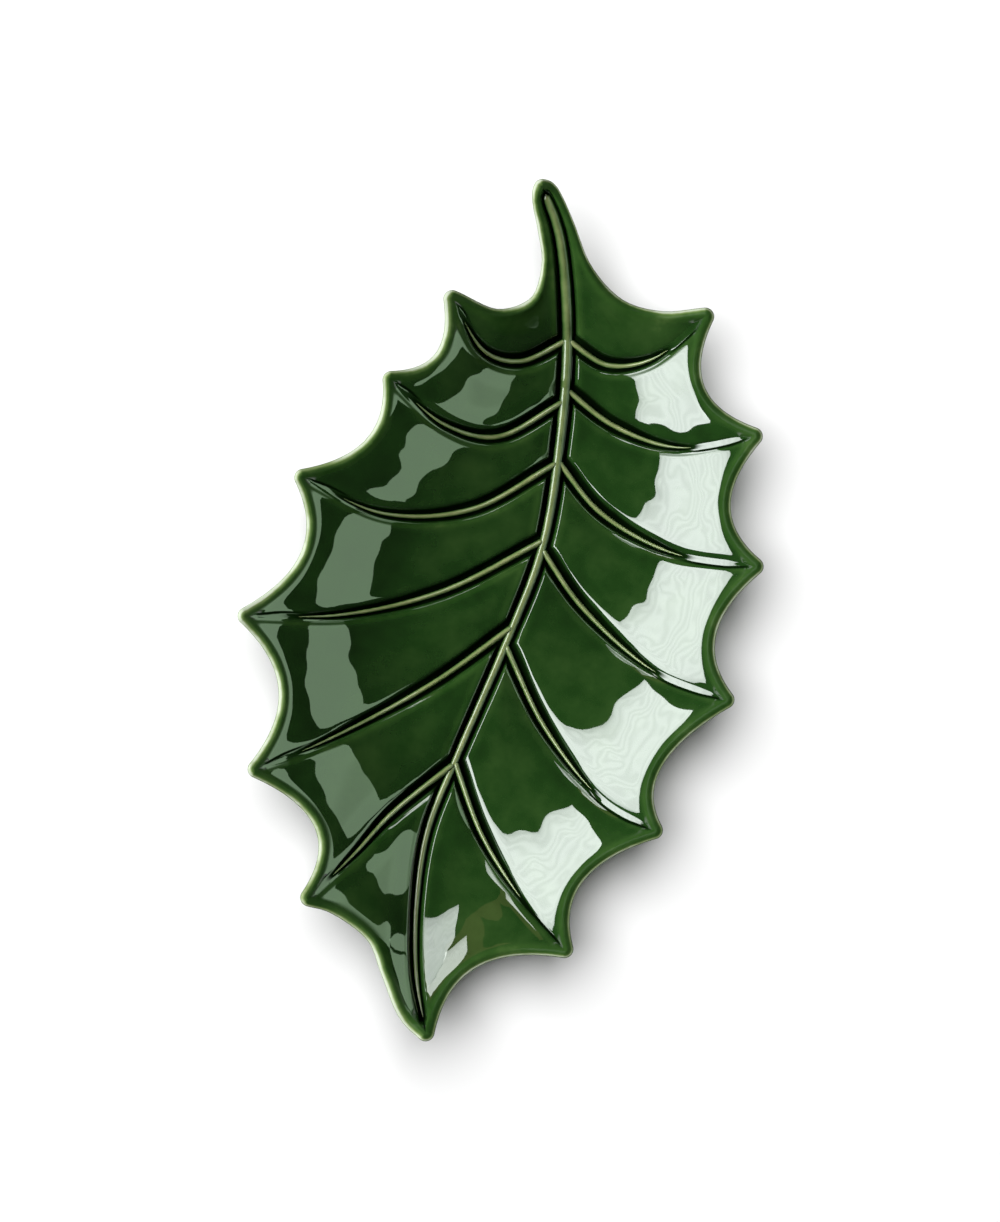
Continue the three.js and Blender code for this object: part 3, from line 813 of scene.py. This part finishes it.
def build_dish():
    skin = Skin()
    edges = {"top": [], "under": []}
    for side in sides:
        turned = side.outward < 0
        for k, plan in enumerate(lobes[side.name]):
            keep = np.unique(np.linspace(0, plan.shape[1] - 1, UNDER_COLUMNS).astype(int))
            top = lift(plan, top_height(plan))
            under = lift(plan[:, keep], under_height(plan[:, keep]))
            skin.grid(top, top_glaze_light_and_shade(plan), turned)
            skin.grid(under, OPEN_GLAZE, not turned)
            skin.grid(*lip_rows(*lip_stands(side, k)), turned)
            edges["top"].append(top[:, 0])
            edges["under"].append(under[:, 0])
    lobe_count = len(rims) // 2
    left, right = [np.vstack(edges["top"][i : i + lobe_count]) for i in (0, lobe_count)]
    middle = midrib.at(np.linspace(0, 1, FLOOR_STATIONS))
    middle = lift(middle, top_height(middle))
    skin.band(left, middle, POOL_AND_SHADE_GLAZE, False)
    skin.band(middle, right, POOL_AND_SHADE_GLAZE, False)
    left, right = [np.vstack(edges["under"][i : i + lobe_count]) for i in (0, lobe_count)]
    skin.band(left, right, OPEN_GLAZE, True)
    return bpy.data.objects.new("glazed_leaf", skin.mesh("glazed_leaf"))


leaf = build_dish()
bpy.context.scene.collection.objects.link(leaf)
places = np.array([vertex.co for vertex in leaf.data.vertices])
low, high = places.min(axis=0), places.max(axis=0)
solid_low, solid_high = [np.array(corner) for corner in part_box("leaf_dish")]
shift = (solid_low + solid_high - low - high) / 2
shift[2] = 0
print("dish:", len(leaf.data.polygons), "faces, size", (high - low) / MM)

# %% [markdown]
# ## The drawing's place
# The origin lies under the middle of the solid's outline, so the drawing moves over by a fraction of a
# millimetre. Everything that follows the drawing moves by the same amount.

# %% Move the dish over the origin
def settle(mesh):
    for vertex in mesh.vertices:
        vertex.co.x += shift[0]
        vertex.co.y += shift[1]
    return mesh


settle(leaf.data)
print("moved by", (shift / MM).round(3), "mm")

# %% [markdown]
# ## Ribs
# A rib follows a path, thins along it and ends in a round tip. Geometry Nodes do this well: a line of
# points becomes a curve, an oval is swept along it, and the width stored on each point scales the oval.
# The tree also keeps how high each point of the oval lies, so that the glaze can be thin on the crest of
# the rib.

# %% Make the tree that sweeps a rib
def add_node(tree, kind, settings=(), **links):
    node = tree.nodes.new(kind)
    for key, value in dict(settings).items():
        setattr(node, key, value)
    for key, value in links.items():
        socket = next(s for s in node.inputs if s.name.replace(" ", "_") == key and s.enabled)
        if isinstance(value, bpy.types.NodeSocket):
            tree.links.new(value, socket)
        else:
            socket.default_value = value
    return node


def add_math(tree, operation, first, second):
    node = tree.nodes.new("ShaderNodeMath")
    node.operation = operation
    for socket, value in zip(node.inputs, (first, second)):
        if isinstance(value, bpy.types.NodeSocket):
            tree.links.new(value, socket)
        else:
            socket.default_value = value
    return node.outputs[0]


SEAT_DEPTH = 0.3


def rib_tree():
    tree = bpy.data.node_groups.new("swept_rib", "GeometryNodeTree")
    for name, kind in (
        ("Geometry", "NodeSocketGeometry"),
        ("Sides", "NodeSocketInt"),
        ("Rise", "NodeSocketFloat"),
        ("Glaze", "NodeSocketMaterial"),
    ):
        tree.interface.new_socket(name, in_out="INPUT", socket_type=kind)
    tree.interface.new_socket("Geometry", in_out="OUTPUT", socket_type="NodeSocketGeometry")
    given = tree.nodes.new("NodeGroupInput").outputs
    path = add_node(tree, "GeometryNodeMeshToCurve", Mesh=given["Geometry"])
    path = add_node(tree, "GeometryNodeSetCurveNormal", {"mode": "Z_UP"}, Curve=path.outputs[0])
    oval = add_node(tree, "GeometryNodeCurvePrimitiveCircle", Resolution=given["Sides"], Radius=1.0)
    place = add_node(tree, "GeometryNodeInputPosition")
    parts = add_node(tree, "ShaderNodeSeparateXYZ", Vector=place.outputs[0])
    oval = add_node(
        tree,
        "GeometryNodeStoreNamedAttribute",
        Geometry=oval.outputs[0],
        Name="drop",
        Value=parts.outputs["Y"],
    )
    seat = add_math(tree, "MINIMUM", parts.outputs["Y"], SEAT_DEPTH)
    seat = add_math(tree, "MULTIPLY", seat, given["Rise"])
    shape = add_node(tree, "ShaderNodeCombineXYZ", X=parts.outputs["X"], Y=seat)
    oval = add_node(tree, "GeometryNodeSetPosition", Geometry=oval.outputs[0], Position=shape.outputs[0])
    width = add_node(tree, "GeometryNodeInputNamedAttribute", Name="half_width")
    swept = add_node(
        tree,
        "GeometryNodeCurveToMesh",
        Curve=path.outputs[0],
        Profile_Curve=oval.outputs[0],
        Scale=width.outputs[0],
        Fill_Caps=True,
    )
    made = add_node(tree, "GeometryNodeRealizeInstances", Geometry=swept.outputs[0])
    made = add_node(tree, "GeometryNodeSetShadeSmooth", Geometry=made.outputs[0])
    made = add_node(tree, "GeometryNodeSetMaterial", Geometry=made.outputs[0], Material=given["Glaze"])
    tree.links.new(made.outputs[0], tree.nodes.new("NodeGroupOutput").inputs[0])
    return tree


RIB_TREE = rib_tree()
print("tree", RIB_TREE.name, "with", len(RIB_TREE.nodes), "nodes")

# %% [markdown]
# ## Finishes: writing shader maths as sums
# A material is a graph of nodes, but its maths reads best as plain sums. The class below wraps one socket
# and overloads the operators, so that `1 - mask` adds a Math node. Every other node comes from one method.

# %% A socket that can be added and multiplied
class Value:
    def __init__(self, recipe, socket):
        self.recipe, self.socket = recipe, socket

    def math(self, operation, *terms):
        inputs = dict(enumerate(terms))
        return self.recipe.node("ShaderNodeMath", {"operation": operation}, inputs)

    def __add__(self, other):
        return self.math("ADD", self, other)

    def __sub__(self, other):
        return self.math("SUBTRACT", self, other)

    def __rsub__(self, other):
        return self.math("SUBTRACT", other, self)

    def __mul__(self, other):
        return self.math("MULTIPLY", self, other)

    def between(self, low, high):
        sockets = {"Value": self, "From Min": low, "From Max": high}
        return self.recipe.node("ShaderNodeMapRange", {"interpolation_type": "SMOOTHSTEP"}, sockets)


class Finish:
    def __init__(self, name):
        self.material = bpy.data.materials.new(name)
        self.material.use_nodes = True
        self.tree = self.material.node_tree
        self.tree.nodes.clear()
        self.place = self.node("ShaderNodeTexCoord", output="Object")

    def node(self, kind, settings=None, sockets=None, output=0):
        node = self.tree.nodes.new(kind)
        for key, value in (settings or {}).items():
            if key == "stops":
                self.set_stops(node.color_ramp, value)
            else:
                setattr(node, key, value)
        for key, value in (sockets or {}).items():
            socket = next((s for s in node.inputs if s.identifier == key), None) or node.inputs[key]
            if isinstance(value, Value):
                self.tree.links.new(value.socket, socket)
            else:
                socket.default_value = value
        return Value(self, node.outputs[output]) if node.outputs else None

    @staticmethod
    def set_stops(ramp, stops):
        while len(ramp.elements) < len(stops):
            ramp.elements.new(0.5)
        for element, (position, colour) in zip(ramp.elements, stops):
            element.position = position
            element.color = (*colour, 1)

    def stored(self, name):
        return self.node("ShaderNodeAttribute", {"attribute_name": name}, output="Fac")

    def noise(self, scale, detail):
        sockets = {"Vector": self.place, "Scale": scale, "Detail": detail}
        return self.node("ShaderNodeTexNoise", None, sockets)

    def ramp(self, value, stops):
        return self.node("ShaderNodeValToRGB", {"stops": stops}, {"Fac": value})

    def surface(self, **sockets):
        named = {key.replace("_", " "): value for key, value in sockets.items()}
        shader = self.node("ShaderNodeBsdfPrincipled", None, named)
        self.node("ShaderNodeOutputMaterial", None, {"Surface": shader})
        return self.material


# %% [markdown]
# ## The leaf's glaze
# One green glaze covers the dish. Where it is thick it is almost black, over the lobes it is a deep bottle
# green with soft clouds, and on the edges it thins to a pale yellow green. Over it lies the clear,
# wet-looking skin of the glaze, which the coat of the shader gives. The skin is gone in the black grooves
# and nearly gone on the lip, which show no lamp.

# %% Mix the leaf's glaze
GLAZE_IOR = 1.8
BODY_ROUGHNESS = 0.5
SKIN_ROUGHNESS = 0.02
GROOVE_SKIN = (0.28, 0.44)
LIP_SKIN = (0.56, 0.62)
LIP_DULLING = 0.97
Cloud = namedtuple("Cloud", "scale detail strength")
CLOUDS = [Cloud(26.0, 2.0, 0.28), Cloud(95.0, 3.0, 0.3), Cloud(420.0, 2.0, 0.05)]
GLAZE_STOPS = [
    (0.02, (0.0012, 0.0034, 0.0008)),
    (0.25, (0.0045, 0.0160, 0.0028)),
    (0.50, (0.0150, 0.0560, 0.0085)),
    (0.66, (0.0350, 0.0900, 0.0180)),
    (0.78, (0.0900, 0.1650, 0.0430)),
    (0.90, (0.2400, 0.3200, 0.1300)),
    (1.00, (0.5300, 0.6000, 0.4600)),
]


def leaf_glaze():
    finish = Finish("leaf_glaze")
    # The stored number holds the glaze's thickness and also painted light and shade: darker grooves and
    # banks, lighter shoulders, and the pale lip facing the left window.
    thinness = finish.stored("glaze")
    clouded = thinness
    for cloud in CLOUDS:
        clouded = clouded + (finish.noise(cloud.scale, cloud.detail) - 0.5) * cloud.strength
    return finish.surface(
        Base_Color=finish.ramp(clouded, GLAZE_STOPS),
        Roughness=BODY_ROUGHNESS,
        Specular_IOR_Level=0.0,
        Coat_Weight=thinness.between(*GROOVE_SKIN) * (1 - thinness.between(*LIP_SKIN) * LIP_DULLING),
        Coat_Roughness=SKIN_ROUGHNESS,
        Coat_IOR=GLAZE_IOR,
    )


LEAF_GLAZE = leaf_glaze()
leaf.data.materials.append(LEAF_GLAZE)
print(LEAF_GLAZE.name, "has", len(LEAF_GLAZE.node_tree.nodes), "nodes")

# %% [markdown]
# ## The ribs' glaze
# On the crest of a rib the glaze is so thin that the cream clay shows through it, in patches. Towards its
# foot the colour sinks back into the dark green of the channel, and a broad rib is greener than a narrow
# one.

# %% Mix the ribs' glaze
RIB_CREST = 0.9
RIB_PATCHES = Cloud(160.0, 3.0, 0.35)
BROAD_RIB = (1.5 * MM, 2.7 * MM)
BROAD_LOSS = 0.14
RIB_SKIN = 0.7
RIB_SKIN_RUN = (0.1, 0.9)
RIB_SKIN_ROUGHNESS = 0.05
RIB_STOPS = [
    (0.10, (0.0020, 0.0060, 0.0012)),
    (0.40, (0.0180, 0.0520, 0.0110)),
    (0.62, (0.1000, 0.1800, 0.0500)),
    (0.85, (0.2600, 0.3300, 0.1250)),
    (1.00, (0.3700, 0.4200, 0.1900)),
]


def rib_glaze():
    finish = Finish("rib_glaze")
    height = 0 - finish.stored("drop")
    patches = finish.noise(RIB_PATCHES.scale, RIB_PATCHES.detail) - 0.5
    broad = finish.stored("half_width").between(*BROAD_RIB)
    thinness = height * RIB_CREST + patches * RIB_PATCHES.strength - broad * BROAD_LOSS
    return finish.surface(
        Base_Color=finish.ramp(thinness, RIB_STOPS),
        Roughness=BODY_ROUGHNESS,
        Specular_IOR_Level=0.0,
        Coat_Weight=height.between(*RIB_SKIN_RUN) * RIB_SKIN,
        Coat_Roughness=RIB_SKIN_ROUGHNESS,
        Coat_IOR=GLAZE_IOR,
    )


RIB_GLAZE = rib_glaze()
print(RIB_GLAZE.name, "has", len(RIB_GLAZE.node_tree.nodes), "nodes")

# %% [markdown]
# ## Laying the ribs
# Each rib's path lies on the floor of its channel, sunk a little so that no gap shows under it. Its width
# fades at both ends into a round tip, short at the root and long at the spine.

# %% Sweep the midrib and the veins
RIB_SIDES = 20
RIB_STEP = 1.0
RIB_SINK = 0.1
MIDRIB_RISE = 0.95
VEIN_RISE = 1.4
TIP_TAPER = 14.0
LEAST_ROOT = 0.02
LEAST_TIP = 0.002


def rib_path(line, start, end, half_width):
    count = int((end - start) * line.length / RIB_STEP)
    turn = np.linspace(0, 1, count)
    share = mix(start, end, turn)
    plan = line.at(share)
    from_start, from_end = (share - start) * line.length, (end - share) * line.length
    width = half_width(share)
    blunt = np.clip(from_start / width[0], LEAST_ROOT, 1)
    fine = np.clip(from_end / TIP_TAPER, LEAST_TIP, 1)
    width = width * np.sqrt(1 - (1 - blunt) ** 2) * np.sqrt(1 - (1 - fine) ** 2)
    return lift(plan, top_height(plan) - RIB_SINK), width


def sweep_rib(name, path, widths, rise):
    mesh = bpy.data.meshes.new(name)
    mesh.from_pydata(path * MM, [(i, i + 1) for i in range(len(path) - 1)], [])
    values = mesh.attributes.new("half_width", "FLOAT", "POINT")
    values.data.foreach_set("value", (widths * MM).astype(np.float32))
    settle(mesh)
    rib = bpy.data.objects.new(name, mesh)
    bpy.context.scene.collection.objects.link(rib)
    sweep = rib.modifiers.new("sweep", "NODES")
    sweep.node_group = RIB_TREE
    chosen = {"Sides": RIB_SIDES, "Rise": rise, "Glaze": RIB_GLAZE}
    for item in RIB_TREE.interface.items_tree:
        if item.in_out == "INPUT" and item.name in chosen:
            sweep[item.identifier] = chosen[item.name]
    evaluated = rib.evaluated_get(bpy.context.evaluated_depsgraph_get())
    finished = bpy.data.meshes.new_from_object(evaluated)
    rib.modifiers.remove(sweep)
    rib.data = finished
    return rib


midrib_path = rib_path(midrib, *MIDRIB_RUN, midrib_half)
ribs = {"midrib": sweep_rib("cream_midrib", *midrib_path, MIDRIB_RISE)}
for side in sides:
    for k, vein in enumerate(side.veins, start=1):
        run = side.bead_run
        path = rib_path(vein, 0.0, run, lambda share: vein_half(share / run))
        ribs[f"{side.name}_vein_{k}"] = sweep_rib(f"cream_{side.name}_vein_{k}", *path, VEIN_RISE)
print("ribs:", len(ribs), "faces:", sum(len(rib.data.polygons) for rib in ribs.values()))

# %% [markdown]
# ## The foot ring
# The photograph doesn't show the underside, so the foot is the plain kind such dishes have: a low oval
# ring with rounded edges, wiped clean of glaze where it stands.

# %% Build the foot ring
FOOT_LENGTH = 176
FOOT_WIDTH = 84
FOOT_THICKNESS = 5
FOOT_SPLAY = 1.2
FOOT_CENTRE = np.array([3, 0])
FOOT_ROUND = 1.1
FOOT_SEAT = 0.2
FOOT_STATIONS = 220
ROUND_STEPS = 6


def foot_section():
    quarter = np.linspace(0, math.pi / 2, ROUND_STEPS)
    outer = [(FOOT_ROUND * (1 - math.sin(a)), FOOT_ROUND * (1 - math.cos(a))) for a in quarter]
    inner = [(FOOT_THICKNESS - inset, height) for inset, height in outer]
    return outer, inner


def build_foot():
    outer, inner = foot_section()
    angle = np.linspace(0, 2 * math.pi, FOOT_STATIONS + 1)

    def oval(inset):
        half = np.array([FOOT_WIDTH, FOOT_LENGTH]) / 2 - inset
        return FOOT_CENTRE + half * np.stack([np.cos(angle), np.sin(angle)], axis=-1)

    def seat(inset):
        plan = oval(inset)
        return lift(plan, under_height(plan) + FOOT_SEAT)

    rows = [seat(FOOT_THICKNESS / 2), seat(-FOOT_SPLAY)]
    rows += [lift(oval(inset), np.full(angle.size, height)) for inset, height in outer[::-1]]
    rows += [lift(oval(inset), np.full(angle.size, height)) for inset, height in inner]
    rows += [seat(FOOT_THICKNESS + FOOT_SPLAY), seat(FOOT_THICKNESS / 2)]
    skin = Skin()
    skin.grid(np.stack(rows, axis=1), OPEN_GLAZE, True)
    return bpy.data.objects.new("clay_foot", settle(skin.mesh("clay_foot")))


foot = build_foot()
bpy.context.scene.collection.objects.link(foot)
print("foot:", len(foot.data.polygons), "faces")

# %% [markdown]
# ## The foot's bare clay
# Where the glaze is wiped off, the fired clay shows: a warm buff, a little clouded, and matt. Its grain is
# far too fine to model, so it is only a bump.

# %% Mix the clay
CLAY_CLOUDS = (90.0, 4.0)
CLAY_GRAIN = (2200.0, 3.0)
CLAY_STOPS = [(0.3, (0.52, 0.42, 0.28)), (0.7, (0.66, 0.57, 0.42))]
CLAY_ROUGHNESS = 0.8
GRAIN_DEPTH = 0.2 * MM
GRAIN_STRENGTH = 0.3


def bare_clay():
    finish = Finish("bare_clay")
    colour = finish.ramp(finish.noise(*CLAY_CLOUDS), CLAY_STOPS)
    sockets = {"Height": finish.noise(*CLAY_GRAIN), "Strength": GRAIN_STRENGTH, "Distance": GRAIN_DEPTH}
    bump = finish.node("ShaderNodeBump", None, sockets)
    return finish.surface(Base_Color=colour, Roughness=CLAY_ROUGHNESS, Normal=bump)


CLAY = bare_clay()
foot.data.materials.append(CLAY)
print(CLAY.name, "has", len(CLAY.node_tree.nodes), "nodes")

# %% [markdown]
# ## White paper
# The paper is a plain white floor that keeps the dish's shadow. It reaches far past the picture, so its
# own edge is never seen.

# %% Lay the paper
PAPER_HALF = 6.0
PAPER_COLOUR = (0.8, 0.8, 0.8, 1)


def white_paper():
    finish = Finish("white_paper")
    diffuse = finish.node("ShaderNodeBsdfDiffuse", None, {"Color": PAPER_COLOUR})
    finish.node("ShaderNodeOutputMaterial", None, {"Surface": diffuse})
    return finish.material


paper_mesh = bpy.data.meshes.new("white_paper")
corners = [(PAPER_HALF * x, PAPER_HALF * y, 0) for x, y in ((-1, -1), (1, -1), (1, 1), (-1, 1))]
paper_mesh.from_pydata(corners, [], [(0, 1, 2, 3)])
paper_mesh.materials.append(white_paper())
paper = bpy.data.objects.new("white_paper", paper_mesh)
bpy.context.scene.collection.objects.link(paper)
print("paper:", 2 * PAPER_HALF, "m wide")

# %% [markdown]
# ## Light
# A glaze like this is a dark mirror, so its look is mostly the look of what stands around it. The
# photograph doesn't show its room, so the panels here stand in for it. Their places come from the same
# search as the hollows beside the ribs, or were set one by one. A large soft window on the left gives the
# white patches on the right walls, and two small panes at the top give the patch beside the tip. Pale
# cards on the right and at the top give the grey bands on the left walls and along their edges, and a
# dim wooden board gives the rust tints near the tip. All these show in the gloss alone. Two more panels
# give the daylight that the glaze's own colour needs, and they don't show in the gloss. Over the dish it
# is dark, so its floor keeps a deep colour. Light linking names what each lamp may reach: these reach
# the dish, and the paper has a lamp of its own.

# %% Set up the light
LAMP_DISTANCE = 2.6
dish_pieces = bpy.data.collections.new("dish_pieces")
floor_pieces = bpy.data.collections.new("floor_pieces")
floor_pieces.objects.link(paper)
for piece in (leaf, foot, *ribs.values()):
    dish_pieces.objects.link(piece)


def towards(azimuth, zenith, distance):
    azimuth, zenith = math.radians(azimuth), math.radians(zenith)
    across = distance * math.sin(zenith)
    place = (across * math.cos(azimuth), across * math.sin(azimuth), distance * math.cos(zenith))
    return place, (0, zenith, azimuth)


def span(degrees):
    return 2 * LAMP_DISTANCE * math.tan(math.radians(degrees / 2))


def add_lamp(name, light, place, turn, receivers):
    lamp_object = bpy.data.objects.new(name, light)
    lamp_object.location, lamp_object.rotation_euler = place, turn
    lamp_object.visible_camera = False
    lamp_object.light_linking.receiver_collection = receivers
    bpy.context.scene.collection.objects.link(lamp_object)
    return lamp_object


def panel(name, azimuth, zenith, spans, radiance, colour, in_gloss=True):
    light = bpy.data.lights.new(name, "AREA")
    light.shape = "RECTANGLE"
    light.size, light.size_y = span(spans[0]), span(spans[1])
    light.energy = radiance * math.pi * light.size * light.size_y
    light.color = colour
    lamp_object = add_lamp(name, light, *towards(azimuth, zenith, LAMP_DISTANCE), dish_pieces)
    lamp_object.visible_diffuse = not in_gloss
    lamp_object.visible_glossy = in_gloss
    return light


WINDOW_TINT = (0.97, 1.04, 1.0)
CARD_TINT = (0.74, 1.08, 0.7)
BOARD_TINT = (1.0, 0.75, 0.3)
DAY_TINT = (1, 1, 1)
# A row has a name, then azimuth, zenith and spans in degrees as the dish sees them, then the radiance.
WINDOWS = [
    ("window_left", 180.5, 46.5, (30, 47), 9.3),
    ("window_top", 105.7, 38.9, (18.3, 10.8), 6.0),
    ("window_corner", 118.3, 49.6, (17, 6.9), 6.0),
]
CARDS = [
    ("card_right", 3, 37.8, (15.7, 54), 1.9),
    ("card_edge_right", 6, 70, (28, 62), 1.9),
    ("card_edge_top", 60, 68, (24, 34), 1.9),
]
BOARD = ("board_top", 122, 50, (24, 12), 0.3)
DAYLIGHT = [
    ("day_left", 175, 56, (30, 50), 10.2),
    ("day_low_right", -15, 86, (4, 60), 22),
]

windows = [panel(*row, WINDOW_TINT) for row in WINDOWS]
for row in CARDS:
    panel(*row, CARD_TINT)
panel(*BOARD, BOARD_TINT)
for row in DAYLIGHT:
    panel(*row, DAY_TINT, in_gloss=False)
print("windows:", [light.name for light in windows])

# %% [markdown]
# ## The cloth in front of the windows
# The white patches show fine contour lines, like the rings of an agate. They may be folds of a thin
# cloth that softens a window, bent by the waves of the glaze, but the photograph shows no cloth. A few
# nodes on each lamp give lines of that kind: a ripple across the panel, pushed about by noise, and a
# darker hem along two of its sides.

# %% Ripple the windows
RIPPLES = 10.0
RIPPLE_DRIFT = 9.0
RIPPLE_DEPTH = 0.11
DRIFT_SCALE = 3.0
DRIFT_DETAIL = 2.0
HEM_DEPTH = 0.32
HEM_SHARPNESS = 5


def ripple(light):
    light.use_nodes = True
    tree = light.node_tree
    glow = tree.nodes["Emission"]
    place = add_node(tree, "ShaderNodeNewGeometry").outputs["Parametric"]
    noise = add_node(tree, "ShaderNodeTexNoise", Vector=place, Scale=DRIFT_SCALE, Detail=DRIFT_DETAIL)
    across = add_node(tree, "ShaderNodeSeparateXYZ", Vector=place).outputs["X"]
    drift = add_math(tree, "MULTIPLY", noise.outputs[0], RIPPLE_DRIFT)
    phase = add_math(tree, "ADD", add_math(tree, "MULTIPLY", across, RIPPLES), drift)
    wave = add_math(tree, "SINE", add_math(tree, "MULTIPLY", phase, 2 * math.pi), 0)
    depth = add_math(tree, "MULTIPLY", wave, RIPPLE_DEPTH / 2)
    folds = add_math(tree, "ADD", depth, 1 - RIPPLE_DEPTH / 2)
    off_centre = add_math(tree, "SUBTRACT", add_math(tree, "MULTIPLY", across, 2), 1)
    hem = add_math(tree, "POWER", add_math(tree, "ABSOLUTE", off_centre, 0), HEM_SHARPNESS)
    level = add_math(tree, "SUBTRACT", folds, add_math(tree, "MULTIPLY", hem, HEM_DEPTH))
    tree.links.new(level, glow.inputs["Strength"])


for light in windows:
    ripple(light)
print("ripples:", RIPPLES, "across each of", len(windows), "windows")

# %% [markdown]
# ## Soft light on the paper
# The shadow is darkest under the lower right edge and gone a thumb's width away. A wide round lamp
# overhead, a little towards the top left, gives such a shadow. Its strength follows from the share of
# the paper's sky that the round lamp fills, so the paper stays as white if the lamp is moved.

# %% Light the paper
SKY_HEIGHT = 3.4
SKY_SPREAD = 0.7
SKY_LEAN = 0.42
SKY_RADIUS = SKY_SPREAD * SKY_HEIGHT
SKY_OFFSET = (-SKY_LEAN * SKY_HEIGHT, SKY_LEAN * SKY_HEIGHT)
SKY_LEVEL = 1.4

sky = bpy.data.lights.new("sky_over_paper", "AREA")
sky.shape = "DISK"
sky.size = 2 * SKY_RADIUS
far = SKY_HEIGHT**2 + SKY_OFFSET[0] ** 2 + SKY_OFFSET[1] ** 2
reach = 2 * SKY_RADIUS * math.hypot(*SKY_OFFSET)
sky_share = (1 - (far - SKY_RADIUS**2) / math.sqrt((far + SKY_RADIUS**2) ** 2 - reach**2)) / 2
sky.energy = SKY_LEVEL / sky_share * math.pi * math.pi * SKY_RADIUS**2
add_lamp("sky_over_paper", sky, (*SKY_OFFSET, SKY_HEIGHT), (0, 0, 0), floor_pieces)
print("the lamp fills", round(sky_share, 2), "of the paper's sky")

# %% [markdown]
# ## The room
# The room is dim, with a white band just over the horizon where the paper runs out. Seen from a low side,
# the far paper and the band meet without a dark line between them.

# %% Set up the world
ROOM_LEVEL = 0.02
HORIZON_LEVEL = 1.0
HORIZON = (0.03, 0.12)

world = bpy.data.worlds.new("studio")
world.use_nodes = True
bpy.context.scene.world = world
room = world.node_tree
direction = add_node(room, "ShaderNodeTexCoord").outputs["Generated"]
height = add_node(room, "ShaderNodeSeparateXYZ", Vector=direction).outputs["Z"]
low_sky = add_node(
    room,
    "ShaderNodeMapRange",
    Value=height,
    From_Min=HORIZON[0],
    From_Max=HORIZON[1],
    To_Min=HORIZON_LEVEL,
    To_Max=ROOM_LEVEL,
)
room.links.new(low_sky.outputs[0], room.nodes["Background"].inputs["Strength"])
room.nodes["Background"].inputs["Color"].default_value = (1, 1, 1, 1)
print("lamps:", [o.name for o in bpy.context.scene.objects if o.type == "LIGHT"])

# %% [markdown]
# ## Handing over
# Each mesh is hung on the body it moves with, and the solid it stands for is hidden. The dish has no
# moving parts, so everything rides on the one body.

# %% Tie each piece to its solid
finished = [(leaf, "leaf_dish", "leaf_glaze"), (foot, "foot_ring", "bare_clay")]
finished += [(rib, node, "rib_glaze") for node, rib in ribs.items()]
for piece, node, slot in finished:
    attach(piece, "root")
    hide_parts(node)
